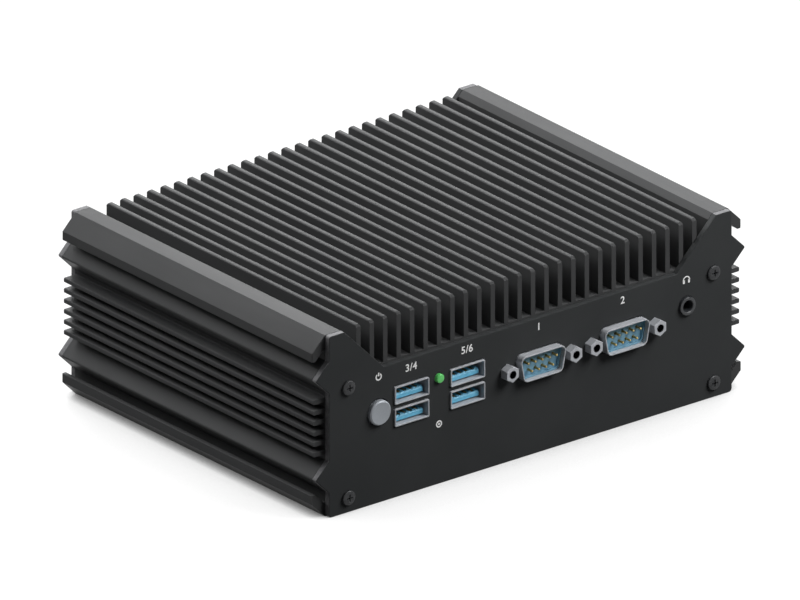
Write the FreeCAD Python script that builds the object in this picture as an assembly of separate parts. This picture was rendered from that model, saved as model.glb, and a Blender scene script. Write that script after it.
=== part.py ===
import FreeCAD, Part
import math
import os

# Fanless industrial computer: a finned aluminium extrusion closed by two end plates and a base cover.
# Millimetres. The origin is the centre of the base, the front plate faces -Y, and +Z is up.

# ---- Housing -------------------------------------------------------------------------------------
depth = 127.0                # over both end plates
base_width = 158.7           # over the flat side walls, without teeth, lips or fins
board_top = 22.3             # upper face of the main board, above the base
head_room = 19.7             # from the main board up to the deck
plate_thickness = 2.0
wall_thickness = 3.0
deck_thickness = 3.5         # wall under the top fins
edge_radius = 0.3            # broken edges of the extrusion
gusset_radius = 1.0

top_fin_count = 26
top_fin_pitch = 5.293
top_fin_thickness = 1.7
top_fin_height = 15.1
top_fin_tip_radius = 0.5
fin_end_bevel = 0.8
side_fin_radius = 0.35       # tips and roots of the side fins
shoulder_width = 6.05
shoulder_chamfer = 1.8       # along the inner top edge of each shoulder

side_fin_count = 6
side_fin_pitch = 3.5
side_fin_thickness = 1.5
side_fin_reach = 4.45

tooth_reach = 5.3            # V-shaped ribs on the sides, above and below the side fins
tooth_offset = 16.6          # from mid-height to each rib
tooth_tip_radius = 0.6
lip_reach = 5.05             # hooked lips along the top and bottom edges
lip_face = 3.0
lip_land = 1.3

notch_margin = 0.6           # how far the end plates' notch goes below the roots of the fins
plate_base_radius = 1.2
plate_top_radius = 0.8

# ---- Fasteners -----------------------------------------------------------------------------------
thread_radius = 1.25         # tapped holes for the M3 screws
thread_gap = 0.05            # between a screw's shank and its tapped hole
clearance_hole_radius = 1.7
pan_head_radius = 2.4
pan_head_height = 1.1
pan_head_rim = 0.7
csk_head_radius = 2.8
csk_head_depth = 1.6
csk_clearance = 0.1
screw_inset = 7.45           # end-plate screws, in from the flat side walls
screw_wall = 3.4             # metal kept round the tapped holes of the end plates
low_screw_height = 5.0
screw_drop = 0.2             # upper end-plate screws, below the deck's inner face
plate_screw_length = 8.0
tapped_depth = 12.0

# ---- Base cover ----------------------------------------------------------------------------------
cover_thickness = 2.0
cover_gap = 0.2
cover_rebate_inset = 6.95    # of the foot's outer land, in from the flat side walls
foot_width = 12.35           # of the foot flange, in from the inner wall
cover_screw_inset = 4.0      # from the flange's edge
cover_screw_y = 44.0
cover_screw_length = 6.0
bracket_spacing = 100.0      # four M4 mounting nuts in the base cover
nut_thread_radius = 1.65
nut_shank_radius = 2.9
nut_flange_radius = 4.0
nut_flange_height = 2.4
nut_press_gap = 0.02
nut_recess = 0.1

# ---- Main board ----------------------------------------------------------------------------------
board_thickness = 1.6
board_end_gap = 0.6          # to the end plates
board_side_gap = 0.4
board_hole_radius = 1.6
guide_reach = 4.0
guide_thickness = 2.0
guide_gap = 0.05

# ---- Front and rear parts, above the board -------------------------------------------------------
stack_x = (-47.0, -25.0)     # two stacked pairs of data ports
rear_stack_x = 8.0
port_width = 13.5
port_height = 5.87
port_pitch = 7.4
port_low = 4.375             # centre of the lower port above the board
port_proud = 0.6
port_corner = 0.45
port_wall = 0.45
port_gap = 0.15              # round each port in its plate
stack_body_margin = 0.5
stack_body_depth = 17.5
port_floor_depth = 11.0
tongue_width = 11.1
tongue_thickness = 1.94
tongue_setback = 1.7
tongue_drop = 1.03           # tongue's mid-height below the port's
contact_thickness = 0.12
contact_width = 1.0
contact_pitch = 2.3
contact_count = 4
contact_length = 6.5
contact_setback = 1.2

first_serial_x = 3.25
serial_space = 2.25          # between the two ports' flanges
serial_height = 7.9          # centre above the board
shell_top_width = 18.3
shell_bottom_width = 15.25
shell_height = 8.7
shell_corner = 2.0
shell_wall = 0.45
shell_proud = 2.5
shell_gap = 0.3
flange_end = 2.905           # from the screw locks' axes to the ends of the flange
flange_height = 12.5
flange_thickness = 0.8
flange_corner = 1.5
serial_body_depth = 9.0
insulator_face = 0.1         # behind the plate's front face
insulator_gap = 0.05
pin_radius = 0.5
pin_pitch = 2.77
pin_row_offset = 1.42
pin_tip = 2.2                # in front of the plate
pin_seat = 3.0
pin_gap = 0.03
jackscrew_spacing = 24.99
jackscrew_flats = 4.7
jackscrew_height = 3.0
jackscrew_thread_radius = 1.15
jackscrew_mouth_radius = 1.5
jackscrew_thread_depth = 5.0
jackscrew_shank_radius = 1.4
jackscrew_shank_length = 6.5
jackscrew_hole_radius = 1.6

button_x = -59.8
button_height = 8.0
button_radius = 4.1
button_gap = 0.3
button_proud = 1.3
button_chamfer = 0.4
button_flange_radius = 4.9
button_flange_thickness = 0.9
button_seat_gap = 0.1
button_travel = 1.0
button_stem_radius = 1.5
button_stem_length = 3.2
stem_gap = 0.3
stop_gap = 0.3
switch_width = 10.0
switch_depth = 8.0
switch_height = 13.5

led_x = -36.05
led_height = 13.1
led_radius = 1.45
led_edge = 0.35              # rounding of its flat front
led_gap = 0.15
led_proud = 1.0
led_length = 6.0
led_rim = 0.35
led_rim_thickness = 0.8
holder_width = 5.2
holder_depth = 7.0
holder_top = 2.6             # above the lamp's axis

audio_x = 61.4
audio_height = 11.2
audio_ring_radius = 3.0
audio_bore_radius = 1.85
audio_proud = 1.0
audio_ring_bevel = 0.3
audio_sleeve_length = 13.0
audio_body_width = 10.0
audio_body_depth = 12.5
audio_body_top = 4.5
audio_gap = 0.05

# Rear parts are placed as seen from behind: positive is to the viewer's right.
inlet_x = -59.0
inlet_height = 8.0
inlet_barrel_radius = 4.6
inlet_bore_radius = 3.2
inlet_pin_radius = 1.25
inlet_proud = 3.6
inlet_bore_depth = 10.5
inlet_pin_setback = 1.5
inlet_body_width = 14.0
inlet_body_depth = 13.0
inlet_body_top = 6.5
nut_flats = 12.0
nut_thickness = 2.0
nut_gap = 0.1

video_x = (-38.0, -14.0)
video_width = 16.4
video_height = 5.4
video_low = 3.6
video_chamfer = 1.5
video_proud = 0.5
video_body_depth = 16.0
video_floor_depth = 9.0
video_tongue_width = 12.6
video_tongue_thickness = 1.3

network_x = (32.0, 51.0)
network_width = 16.2
network_height = 13.6
network_proud = 0.5
network_depth = 21.0
network_mouth_width = 11.8
network_mouth_height = 7.0
network_mouth_low = 3.9
network_latch_width = 6.2
network_latch_drop = 1.9
network_mouth_depth = 13.0
network_wall = 0.4
network_wire_width = 0.45
network_wire_setback = 2.5
network_wire_pitch = 1.02
network_wire_count = 8
network_lamp_width = 2.6
network_lamp_height = 1.8
network_lamp_inset = 1.0

# ---- Inner parts ---------------------------------------------------------------------------------
processor_y = 8.0
processor_width = 34.0
processor_length = 30.0
substrate_thickness = 1.2
lid_margin = 4.0
lid_thickness = 1.1
pad_thickness = 0.4
block_width = 50.0
block_length = 46.0
leg_radius = 3.5
leg_inset = 4.0
block_screw_inset = 4.5
block_screw_length = 7.0
leg_screw_length = 6.0

memory_x = -30.0
memory_y = 22.0
memory_width = 67.6
memory_length = 30.0
memory_thickness = 1.2
memory_drop = 3.0
socket_depth = 6.5
socket_margin = 1.5
socket_slot_gap = 0.05
socket_floor = 1.4           # of a card socket, under its card
socket_slot_depth = 3.0
chip_count = 4
chip_width = 11.0
chip_length = 8.0
chip_thickness = 1.0

storage_x = 34.0
storage_y = 8.0
storage_width = 22.0
storage_length = 80.0
storage_thickness = 0.8
storage_drop = 2.6
storage_screw_inset = 2.6
package_length = 16.0
package_margin = 3.0         # from the card's long edges
package_thickness = 1.0
storage_post_radius = 2.6

cell_x = -34.0
cell_y = -28.0
cell_radius = 10.0
cell_thickness = 3.2
cell_gap = 0.2
holder_wall = 1.2
holder_floor = 1.0

can_count = 5
can_pitch = 8.5
can_radius = 3.15
can_height = 7.0
can_x = 47.0
can_y = 20.0
choke_count = 4
choke_pitch = 8.5
choke_size = 6.8
choke_height = 4.0
choke_x = 36.5
choke_bevel = 0.8

# ---- Values that follow --------------------------------------------------------------------------
deck_under = board_top + head_room
fin_floor = deck_under + deck_thickness
height = fin_floor + top_fin_height
side_x = base_width / 2.0
inner_x = side_x - wall_thickness
mid_z = height / 2.0
face_y = -depth / 2.0
body_length = depth - 2.0 * plate_thickness
body_y = face_y + plate_thickness
shoulder_x = side_x - shoulder_width
shoulder_wall_x = shoulder_x - shoulder_chamfer
screw_x = side_x - screw_inset
high_screw_height = deck_under - screw_drop
foot_height = low_screw_height + screw_wall
foot_x = inner_x - foot_width
rebate_x = side_x - cover_rebate_inset
cover_screw_x = foot_x + cover_screw_inset
board_under = board_top - board_thickness
flange_width = jackscrew_spacing + 2.0 * flange_end
serial_x = (first_serial_x, first_serial_x + flange_width + serial_space)
pad_top = board_top + substrate_thickness + lid_thickness + pad_thickness


# ---- Shape helpers -------------------------------------------------------------------------------
def point(x, y, z):
    return FreeCAD.Vector(x, y, z)


def block(x0, x1, y0, y1, z0, z1):
    return Part.makeBox(x1 - x0, y1 - y0, z1 - z0, point(x0, y0, z0))


def rod(radius, y0, y1, x, z):
    """A round bar along Y."""
    return Part.makeCylinder(radius, y1 - y0, point(x, y0, z), point(0, 1, 0))


def post(radius, z0, z1, x, y):
    """A round bar along Z."""
    return Part.makeCylinder(radius, z1 - z0, point(x, y, z0), point(0, 0, 1))


def outline(corners, y):
    """A closed wire in the XZ plane at y, through corners given as (x, z, corner radius)."""
    places = [point(x, y, z) for x, z, radius in corners]
    edges = []
    arcs = []
    for i, here in enumerate(places):
        radius = corners[i][2]
        back = (places[i - 1] - here).normalize()
        ahead = (places[(i + 1) % len(places)] - here).normalize()
        half_angle = back.getAngle(ahead) / 2.0
        reach = radius / math.tan(half_angle)
        inward = (back + ahead).normalize() if radius else back
        middle = here + inward * (radius / math.sin(half_angle) - radius)
        arcs.append((here + back * reach, middle, here + ahead * reach))
    for i, (start, middle, end) in enumerate(arcs):
        previous_end = arcs[i - 1][2]
        if previous_end.distanceToPoint(start) > 1e-6:
            edges.append(Part.LineSegment(previous_end, start).toShape())
        if corners[i][2]:
            edges.append(Part.Arc(start, middle, end).toShape())
    return Part.Wire(edges)


def slab(corners, y0, y1):
    """A prism along Y whose section is the outline."""
    return Part.Face(outline(corners, y0)).extrude(point(0, y1 - y0, 0))


def mirrored(right_half):
    """The right half of an outline, followed by its mirror image on the left."""
    return right_half + [(-x, z, radius) for x, z, radius in reversed(right_half)]


def turned(profile, x, z):
    """A solid turned about an axis along Y; the profile is (radius, y) from front to back."""
    places = [point(x, profile[0][1], z)]
    places += [point(x + radius, y, z) for radius, y in profile]
    places += [point(x, profile[-1][1], z), places[0]]
    corners = [a for i, a in enumerate(places) if i == 0 or a.distanceToPoint(places[i - 1]) > 1e-6]
    face = Part.Face(Part.makePolygon(corners))
    return face.revolve(point(x, 0, z), point(0, 1, 0), 360)


def rounded_box(x, z, width, tall, radius):
    """The corners of a rectangle about (x, z)."""
    left = x - width / 2.0
    right = x + width / 2.0
    low = z - tall / 2.0
    high = z + tall / 2.0
    return [(left, low, radius), (right, low, radius), (right, high, radius), (left, high, radius)]


def hexagon(x, z, flats, turn):
    """The corners of a hexagon about (x, z), its first corner at turn degrees from +X."""
    radius = flats / math.sqrt(3.0)
    corners = []
    for i in range(6):
        angle = math.radians(turn + 60.0 * i)
        corners.append((x + radius * math.cos(angle), z + radius * math.sin(angle), 0.0))
    return corners


def group(shapes):
    return Part.makeCompound(shapes)


def upright(shape, x, y, z):
    """Turns a part that was made along +Y at the origin to point along +Z, and places it."""
    shape.rotate(point(0, 0, 0), point(1, 0, 0), 90)
    shape.translate(point(x, y, z))
    return shape


def to_rear(shape):
    """Moves a part that was made at the front plate to the same place on the rear plate."""
    shape.rotate(point(0, 0, 0), point(0, 0, 1), 180)
    return shape


def save(name, shape):
    shape.exportStep("parts/" + name + ".step")


# ---- Housing -------------------------------------------------------------------------------------
def tooth(centre_z):
    """One V-shaped rib, from its lower root to its upper root."""
    return [
        (side_x, centre_z - tooth_reach, edge_radius),
        (side_x + tooth_reach, centre_z, tooth_tip_radius),
        (side_x, centre_z + tooth_reach, edge_radius),
    ]


def lower_side():
    """The extrusion's right side from the base to mid-height: hooked lip, tooth and side fins."""
    lip_x = side_x + lip_reach
    lip_top = lip_reach + lip_face
    corners = [
        (side_x, 0.0, edge_radius),
        (lip_x, lip_reach, edge_radius),
        (lip_x, lip_top, edge_radius),
        (lip_x - lip_land, lip_top, 0.0),
        (side_x, lip_face + lip_land, edge_radius),
    ]
    corners += tooth(mid_z - tooth_offset)
    for i in range(side_fin_count // 2):
        centre = mid_z - side_fin_pitch * (side_fin_count / 2.0 - 0.5 - i)
        low = centre - side_fin_thickness / 2.0
        high = centre + side_fin_thickness / 2.0
        corners += [
            (side_x, low, side_fin_radius),
            (side_x + side_fin_reach, low, side_fin_radius),
            (side_x + side_fin_reach, high, side_fin_radius),
            (side_x, high, side_fin_radius),
        ]
    return corners


def top_half():
    """The extrusion's top from the right shoulder to the middle, its fins standing on the deck."""
    corners = [
        (shoulder_x, height, edge_radius),
        (shoulder_wall_x, height - shoulder_chamfer, edge_radius),
        (shoulder_wall_x, fin_floor, edge_radius),
    ]
    for i in reversed(range(top_fin_count // 2)):
        centre = top_fin_pitch * (i + 0.5)
        right = centre + top_fin_thickness / 2.0
        left = centre - top_fin_thickness / 2.0
        corners += [
            (right, fin_floor, 0.0),
            (right, height, top_fin_tip_radius),
            (left, height, top_fin_tip_radius),
            (left, fin_floor, 0.0),
        ]
    return corners


def inner_half():
    """The extrusion's inside from the middle of the deck down to the right foot."""
    gusset = screw_x + high_screw_height - screw_wall * math.sqrt(2.0)
    guide_x = inner_x - guide_reach
    guide_high = board_top + guide_gap
    guide_low = board_under - guide_gap
    return [
        (gusset - deck_under, deck_under, gusset_radius),
        (inner_x, gusset - inner_x, gusset_radius),
        (inner_x, guide_high + guide_thickness, 0.0),
        (guide_x, guide_high + guide_thickness, 0.0),
        (guide_x, guide_high, 0.0),
        (inner_x, guide_high, 0.0),
        (inner_x, guide_low, 0.0),
        (guide_x, guide_low, 0.0),
        (guide_x, guide_low - guide_thickness, 0.0),
        (inner_x, guide_low - guide_thickness, 0.0),
        (inner_x, foot_height, 0.0),
        (foot_x, foot_height, 0.0),
        (foot_x, cover_thickness, 0.0),
        (rebate_x, cover_thickness, 0.0),
        (rebate_x, 0.0, 0.0),
    ]


def chassis():
    """The finned extrusion, with tapped holes for the end plates and the base cover."""
    lower = lower_side()
    upper = [(x, height - z, radius) for x, z, radius in reversed(lower)]
    outside = mirrored(lower + upper + top_half())
    inside = [(-x, z, radius) for x, z, radius in reversed(inner_half())] + inner_half()
    shape = slab(outside + inside, body_y, body_y + body_length)
    cuts = []
    for x in (-screw_x, screw_x):
        for z in (low_screw_height, high_screw_height):
            cuts.append(rod(thread_radius, body_y, body_y + tapped_depth, x, z))
            cuts.append(rod(thread_radius, -body_y - tapped_depth, -body_y, x, z))
    for x, y in cover_screw_places():
        cuts.append(post(thread_radius, 0.0, foot_height + 1.0, x, y))
    bevel = fin_end_bevel
    bevel_x = (shoulder_x + top_fin_pitch * top_fin_count / 2.0) / 2.0
    for end, way in ((body_y, 1.0), (-body_y, -1.0)):
        corner = [
            point(-bevel_x, end, height),
            point(-bevel_x, end + way * bevel, height),
            point(-bevel_x, end, height - bevel),
            point(-bevel_x, end, height),
        ]
        cuts.append(Part.Face(Part.makePolygon(corner)).extrude(point(2.0 * bevel_x, 0, 0)))
    return shape.cut(cuts)


def end_plate(openings):
    """A sheet cut to the extrusion's outline, without its lips and side fins."""
    right = [(side_x, 0.0, plate_base_radius)]
    right += tooth(mid_z - tooth_offset) + tooth(mid_z + tooth_offset)
    drop = top_fin_height + notch_margin
    right += [
        (side_x, height, plate_top_radius),
        (shoulder_x, height, edge_radius),
        (shoulder_x - drop, height - drop, edge_radius),
    ]
    shape = slab(mirrored(right), face_y, face_y + plate_thickness)
    cuts = list(openings)
    for x in (-screw_x, screw_x):
        for z in (low_screw_height, high_screw_height):
            cuts.append(plate_hole(clearance_hole_radius, x, z))
    return shape.cut(cuts)


def plate_hole(radius, x, z):
    return rod(radius, face_y - 1.0, face_y + plate_thickness + 1.0, x, z)


def plate_window(corners):
    return slab(corners, face_y - 1.0, face_y + plate_thickness + 1.0)


def front_openings():
    cuts = [
        plate_hole(button_radius + button_gap, button_x, board_top + button_height),
        plate_hole(led_radius + led_gap, led_x, board_top + led_height),
        plate_hole(audio_ring_radius + audio_gap, audio_x, board_top + audio_height),
    ]
    for x in stack_x:
        cuts += stack_windows(x)
    for x in serial_x:
        cuts.append(plate_window(d_outline(x, shell_gap)))
        for side in (-1.0, 1.0):
            place = x + side * jackscrew_spacing / 2.0
            cuts.append(plate_hole(jackscrew_hole_radius, place, board_top + serial_height))
    return cuts


def rear_openings():
    cuts = stack_windows(rear_stack_x)
    cuts.append(plate_hole(inlet_barrel_radius + audio_gap, inlet_x, board_top + inlet_height))
    for x in video_x:
        cuts.append(plate_window(video_outline(x, port_gap)))
    for x in network_x:
        z = board_top + network_height / 2.0
        size = 2.0 * port_gap
        cuts.append(plate_window(rounded_box(x, z, network_width + size, network_height + size, 0.3)))
    return cuts


def stack_windows(x):
    """Two openings, one over the other, for a stacked pair of data ports."""
    wide = port_width + 2.0 * port_gap
    tall = port_height + 2.0 * port_gap
    return [plate_window(rounded_box(x, z, wide, tall, port_corner + port_gap)) for z in port_levels()]


def base_cover():
    """The flat cover in the rebate of the feet, with countersunk holes and holes for the nuts."""
    half_x = rebate_x - cover_gap
    half_y = body_length / 2.0 - cover_gap
    shape = block(-half_x, half_x, -half_y, half_y, 0.0, cover_thickness)
    cuts = []
    for x, y in cover_screw_places():
        cuts.append(post(clearance_hole_radius, -1.0, cover_thickness + 1.0, x, y))
        wide = csk_head_radius + csk_clearance
        cuts.append(Part.makeCone(wide, wide - csk_head_depth, csk_head_depth, point(x, y, 0.0)))
    for x, y in nut_places():
        cuts.append(post(nut_shank_radius + nut_press_gap, -1.0, cover_thickness + 1.0, x, y))
    return shape.cut(cuts)


# ---- Fasteners -----------------------------------------------------------------------------------
def cover_screw_places():
    return [(x, y) for x in (-cover_screw_x, cover_screw_x) for y in (-cover_screw_y, 0.0, cover_screw_y)]


def nut_places():
    half = bracket_spacing / 2.0
    return [(x, y) for x in (-half, half) for y in (-half, half)]


def pan_screw(x, z, seat_y, length):
    """A pan-head screw along Y; the head stands in front of seat_y and the shank goes back."""
    rise = pan_head_height - pan_head_rim
    dome = (pan_head_radius ** 2 + rise ** 2) / (2.0 * rise)
    head = rod(pan_head_radius, seat_y - pan_head_height, seat_y, x, z)
    ball = Part.makeSphere(dome, point(x, seat_y - pan_head_height + dome, z))
    shank = rod(thread_radius - thread_gap, seat_y, seat_y + length, x, z)
    return head.common(ball).fuse(shank).removeSplitter()


def plate_screws():
    screws = []
    for x in (-screw_x, screw_x):
        for z in (low_screw_height, high_screw_height):
            screws.append(pan_screw(x, z, face_y, plate_screw_length))
    return group(screws)


def cover_screws():
    """Countersunk screws, flush with the underside of the base cover."""
    screws = []
    for x, y in cover_screw_places():
        shank_radius = thread_radius - thread_gap
        tip = csk_head_radius - csk_head_depth
        head = Part.makeCone(csk_head_radius, tip, csk_head_depth, point(x, y, 0.0))
        screws.append(head.fuse(post(shank_radius, csk_head_depth / 2.0, cover_screw_length, x, y)))
    return group(screws)


def mounting_nuts():
    """Four M4 press nuts in the base cover, with their flanges inside."""
    nuts = []
    for x, y in nut_places():
        top = cover_thickness + nut_flange_height
        body = post(nut_shank_radius, nut_recess, top, x, y)
        body = body.fuse(post(nut_flange_radius, cover_thickness, top, x, y))
        nuts.append(body.cut(post(nut_thread_radius, -1.0, top + 1.0, x, y)))
    return group(nuts)


# ---- Data ports ----------------------------------------------------------------------------------
def port_levels():
    low = board_top + port_low
    return (low, low + port_pitch)


def stack_shell(x):
    """The steel shell of a stacked pair: a box on the board with two mouths through the plate."""
    back = face_y + plate_thickness
    half = port_width / 2.0 + stack_body_margin
    top = board_top + port_low + port_pitch + port_height / 2.0 + stack_body_margin
    shape = block(x - half, x + half, back, back + stack_body_depth, board_top, top)
    cuts = []
    for z in port_levels():
        mouth = rounded_box(x, z, port_width, port_height, port_corner)
        shape = shape.fuse(slab(mouth, face_y - port_proud, back))
        inside_width = port_width - 2.0 * port_wall
        inside_height = port_height - 2.0 * port_wall
        inside = rounded_box(x, z, inside_width, inside_height, port_corner - port_wall)
        cuts.append(slab(inside, face_y - port_proud - 1.0, face_y + port_floor_depth))
    return shape.cut(cuts).removeSplitter()


def stack_tongues(x):
    """The two moulded tongues, standing out from the back walls of the ports."""
    shapes = []
    for z in port_levels():
        middle = z - tongue_drop
        front = face_y - port_proud + tongue_setback
        bar = rounded_box(x, middle, tongue_width, tongue_thickness, 0.25)
        shapes.append(slab(bar, front, face_y + port_floor_depth))
    return group(shapes)


def stack_contacts(x):
    """Flat contacts on the upper side of each tongue."""
    shapes = []
    for z in port_levels():
        top = z - tongue_drop + tongue_thickness / 2.0
        front = face_y - port_proud + tongue_setback + contact_setback
        for i in range(contact_count):
            middle = x + contact_pitch * (i - (contact_count - 1) / 2.0)
            left = middle - contact_width / 2.0
            right = middle + contact_width / 2.0
            shapes.append(block(left, right, front, front + contact_length, top, top + contact_thickness))
    return group(shapes)


# ---- Serial ports --------------------------------------------------------------------------------
def d_outline(x, grow):
    """The D-shaped outline of a nine-pin connector, wide side up, grown by the given amount."""
    z = board_top + serial_height
    half_high = shell_height / 2.0 + grow
    top = shell_top_width / 2.0 + grow
    bottom = shell_bottom_width / 2.0 + grow
    radius = shell_corner + grow
    return [
        (x - bottom, z - half_high, radius),
        (x + bottom, z - half_high, radius),
        (x + top, z + half_high, radius),
        (x - top, z + half_high, radius),
    ]


def serial_screw_places(x):
    return [x - jackscrew_spacing / 2.0, x + jackscrew_spacing / 2.0]


def serial_shell(x):
    """The drawn steel shell and its flange, which lies behind the plate."""
    z = board_top + serial_height
    back = face_y + plate_thickness
    edge = rounded_box(x, z, flange_width, flange_height, flange_corner)
    flange = slab(edge, back, back + flange_thickness)
    shape = flange.fuse(slab(d_outline(x, 0.0), face_y - shell_proud, back))
    cuts = [slab(d_outline(x, -shell_wall), face_y - shell_proud - 1.0, back + flange_thickness + 1.0)]
    for place in serial_screw_places(x):
        cuts.append(rod(jackscrew_hole_radius, back - 1.0, back + flange_thickness + 1.0, place, z))
    return shape.cut(cuts).removeSplitter()


def pin_places(x):
    """Five pins in the upper row and four in the lower."""
    z = board_top + serial_height
    upper = [(x + pin_pitch * (i - 2.0), z + pin_row_offset) for i in range(5)]
    lower = [(x + pin_pitch * (i - 1.5), z - pin_row_offset) for i in range(4)]
    return upper + lower


def serial_insulator(x):
    """The moulded insert inside the shell and the block behind it, which stands on the board."""
    z = board_top + serial_height
    back = face_y + plate_thickness + flange_thickness
    insert = slab(d_outline(x, -shell_wall - insulator_gap), face_y + insulator_face, back)
    half = flange_width / 2.0
    body = block(x - half, x + half, back, back + serial_body_depth, board_top, z + flange_height / 2.0)
    shape = insert.fuse(body)
    cuts = []
    for px, pz in pin_places(x):
        cuts.append(rod(pin_radius + pin_gap, face_y - 1.0, face_y + pin_seat, px, pz))
    for place in serial_screw_places(x):
        deep = face_y + jackscrew_shank_length + stop_gap
        cuts.append(rod(jackscrew_shank_radius + thread_gap, back - 1.0, deep, place, z))
    return shape.cut(cuts)


def serial_pins(x):
    """Nine pins with rounded tips."""
    pins = []
    tip = face_y - pin_tip
    for px, pz in pin_places(x):
        profile = [(pin_radius * 0.5, tip), (pin_radius, tip + pin_radius), (pin_radius, face_y + pin_seat)]
        pins.append(turned(profile, px, pz))
    return group(pins)


def jackscrews(x):
    """Two hexagonal screw locks, tapped at the front and screwed through the plate and the flange."""
    z = board_top + serial_height
    screws = []
    front = face_y - jackscrew_height
    corner_radius = jackscrew_flats / math.sqrt(3.0)
    for place in serial_screw_places(x):
        head = slab(hexagon(place, z, jackscrew_flats, 30.0), front, face_y)
        bevel = corner_radius - jackscrew_flats / 2.0
        envelope = [(jackscrew_flats / 2.0, front), (corner_radius, front + bevel), (corner_radius, face_y)]
        head = head.common(turned(envelope, place, z))
        head = head.fuse(rod(jackscrew_shank_radius, face_y, face_y + jackscrew_shank_length, place, z))
        wide = jackscrew_mouth_radius
        narrow = jackscrew_thread_radius
        hole = [(wide, front), (narrow, front + wide - narrow), (narrow, front + jackscrew_thread_depth)]
        screws.append(head.cut(turned(hole, place, z)))
    return group(screws)


# ---- Button, lamp and audio jack -----------------------------------------------------------------
def power_button():
    """The round push-button: cap, retaining flange behind the plate, and stem into the switch."""
    front = face_y - button_proud
    flange = face_y + plate_thickness + button_seat_gap
    back = flange + button_flange_thickness
    profile = [
        (button_radius - button_chamfer, front),
        (button_radius, front + button_chamfer),
        (button_radius, flange),
        (button_flange_radius, flange),
        (button_flange_radius, back),
        (button_stem_radius, back),
        (button_stem_radius, back + button_stem_length),
    ]
    return turned(profile, button_x, board_top + button_height)


def power_switch():
    """The sealed switch on the board, with the bore that the button's stem works in."""
    z = board_top + button_height
    flange_back = face_y + plate_thickness + button_seat_gap + button_flange_thickness
    front = flange_back + button_travel + stop_gap
    half = switch_width / 2.0
    shape = block(button_x - half, button_x + half, front, front + switch_depth,
                  board_top, board_top + switch_height)
    bore_end = flange_back + button_stem_length + button_travel + stop_gap
    return shape.cut(rod(button_stem_radius + stem_gap, front - 1.0, bore_end, button_x, z))


def status_lamp():
    """A three-millimetre lamp with a flat front, rounded at its edge, and a rim behind the plate."""
    z = board_top + led_height
    front = face_y - led_proud
    rim = face_y + plate_thickness + led_gap
    body = rod(led_radius, front, face_y + led_length, led_x, z)
    front_edges = [e for e in body.Edges if e.BoundBox.YMax < front + led_gap]
    body = body.makeFillet(led_edge, front_edges)
    return body.fuse(rod(led_radius + led_rim, rim, rim + led_rim_thickness, led_x, z)).removeSplitter()


def lamp_holder():
    """The upright block on the board that carries the lamp behind the plate."""
    z = board_top + led_height
    front = face_y + plate_thickness + led_gap + led_rim_thickness
    half = holder_width / 2.0
    shape = block(led_x - half, led_x + half, front, front + holder_depth, board_top, z + holder_top)
    return shape.cut(rod(led_radius + thread_gap, front - 1.0, face_y + led_length, led_x, z))


def audio_sleeve():
    """The round sleeve whose rim stands out of the plate; its bore takes a 3.5 mm plug."""
    z = board_top + audio_height
    front = face_y - audio_proud
    profile = [
        (audio_ring_radius - audio_ring_bevel, front),
        (audio_ring_radius, front + audio_ring_bevel),
        (audio_ring_radius, front + audio_sleeve_length),
    ]
    body = turned(profile, audio_x, z)
    return body.cut(rod(audio_bore_radius, front - 1.0, front + audio_sleeve_length + 1.0, audio_x, z))


def audio_body():
    """The block on the board that holds the sleeve."""
    z = board_top + audio_height
    front = face_y + plate_thickness + port_gap
    half = audio_body_width / 2.0
    shape = block(audio_x - half, audio_x + half, front, front + audio_body_depth,
                  board_top, z + audio_body_top)
    sleeve_end = face_y - audio_proud + audio_sleeve_length
    return shape.cut(rod(audio_ring_radius + audio_gap, front - 1.0, sleeve_end, audio_x, z))


# ---- Rear parts ----------------------------------------------------------------------------------
def inlet_body():
    """The power inlet: a block on the board with a round barrel through the plate."""
    z = board_top + inlet_height
    back = face_y + plate_thickness
    half = inlet_body_width / 2.0
    shape = block(inlet_x - half, inlet_x + half, back, back + inlet_body_depth,
                  board_top, z + inlet_body_top)
    front = face_y - inlet_proud
    shape = shape.fuse(rod(inlet_barrel_radius, front, back, inlet_x, z))
    return shape.cut(rod(inlet_bore_radius, front - 1.0, front + inlet_bore_depth, inlet_x, z))


def inlet_pin():
    """The centre pin, standing on the floor of the inlet's bore."""
    z = board_top + inlet_height
    front = face_y - inlet_proud
    tip = front + inlet_pin_setback
    profile = [
        (inlet_pin_radius * 0.6, tip),
        (inlet_pin_radius, tip + inlet_pin_radius * 0.6),
        (inlet_pin_radius, front + inlet_bore_depth),
    ]
    return turned(profile, inlet_x, z)


def inlet_nut():
    """The hexagonal nut that holds the inlet's barrel to the plate."""
    z = board_top + inlet_height
    front = face_y - nut_thickness
    nut = slab(hexagon(inlet_x, z, nut_flats, 0.0), front, face_y)
    return nut.cut(rod(inlet_barrel_radius + nut_gap, front - 1.0, face_y + 1.0, inlet_x, z))


def video_outline(x, grow):
    """A flat mouth with its two lower corners cut off."""
    z = board_top + video_low
    half_wide = video_width / 2.0 + grow
    half_high = video_height / 2.0 + grow
    cut = video_chamfer
    return [
        (x - half_wide + cut, z - half_high, 0.2),
        (x + half_wide - cut, z - half_high, 0.2),
        (x + half_wide, z - half_high + cut, 0.2),
        (x + half_wide, z + half_high, 0.3),
        (x - half_wide, z + half_high, 0.3),
        (x - half_wide, z - half_high + cut, 0.2),
    ]


def video_shell(x):
    back = face_y + plate_thickness
    half = video_width / 2.0 + stack_body_margin
    top = board_top + video_low + video_height / 2.0 + stack_body_margin
    shape = block(x - half, x + half, back, back + video_body_depth, board_top, top)
    shape = shape.fuse(slab(video_outline(x, 0.0), face_y - video_proud, back))
    inside = video_outline(x, -port_wall)
    return shape.cut(slab(inside, face_y - video_proud - 1.0, face_y + video_floor_depth)).removeSplitter()


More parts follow.
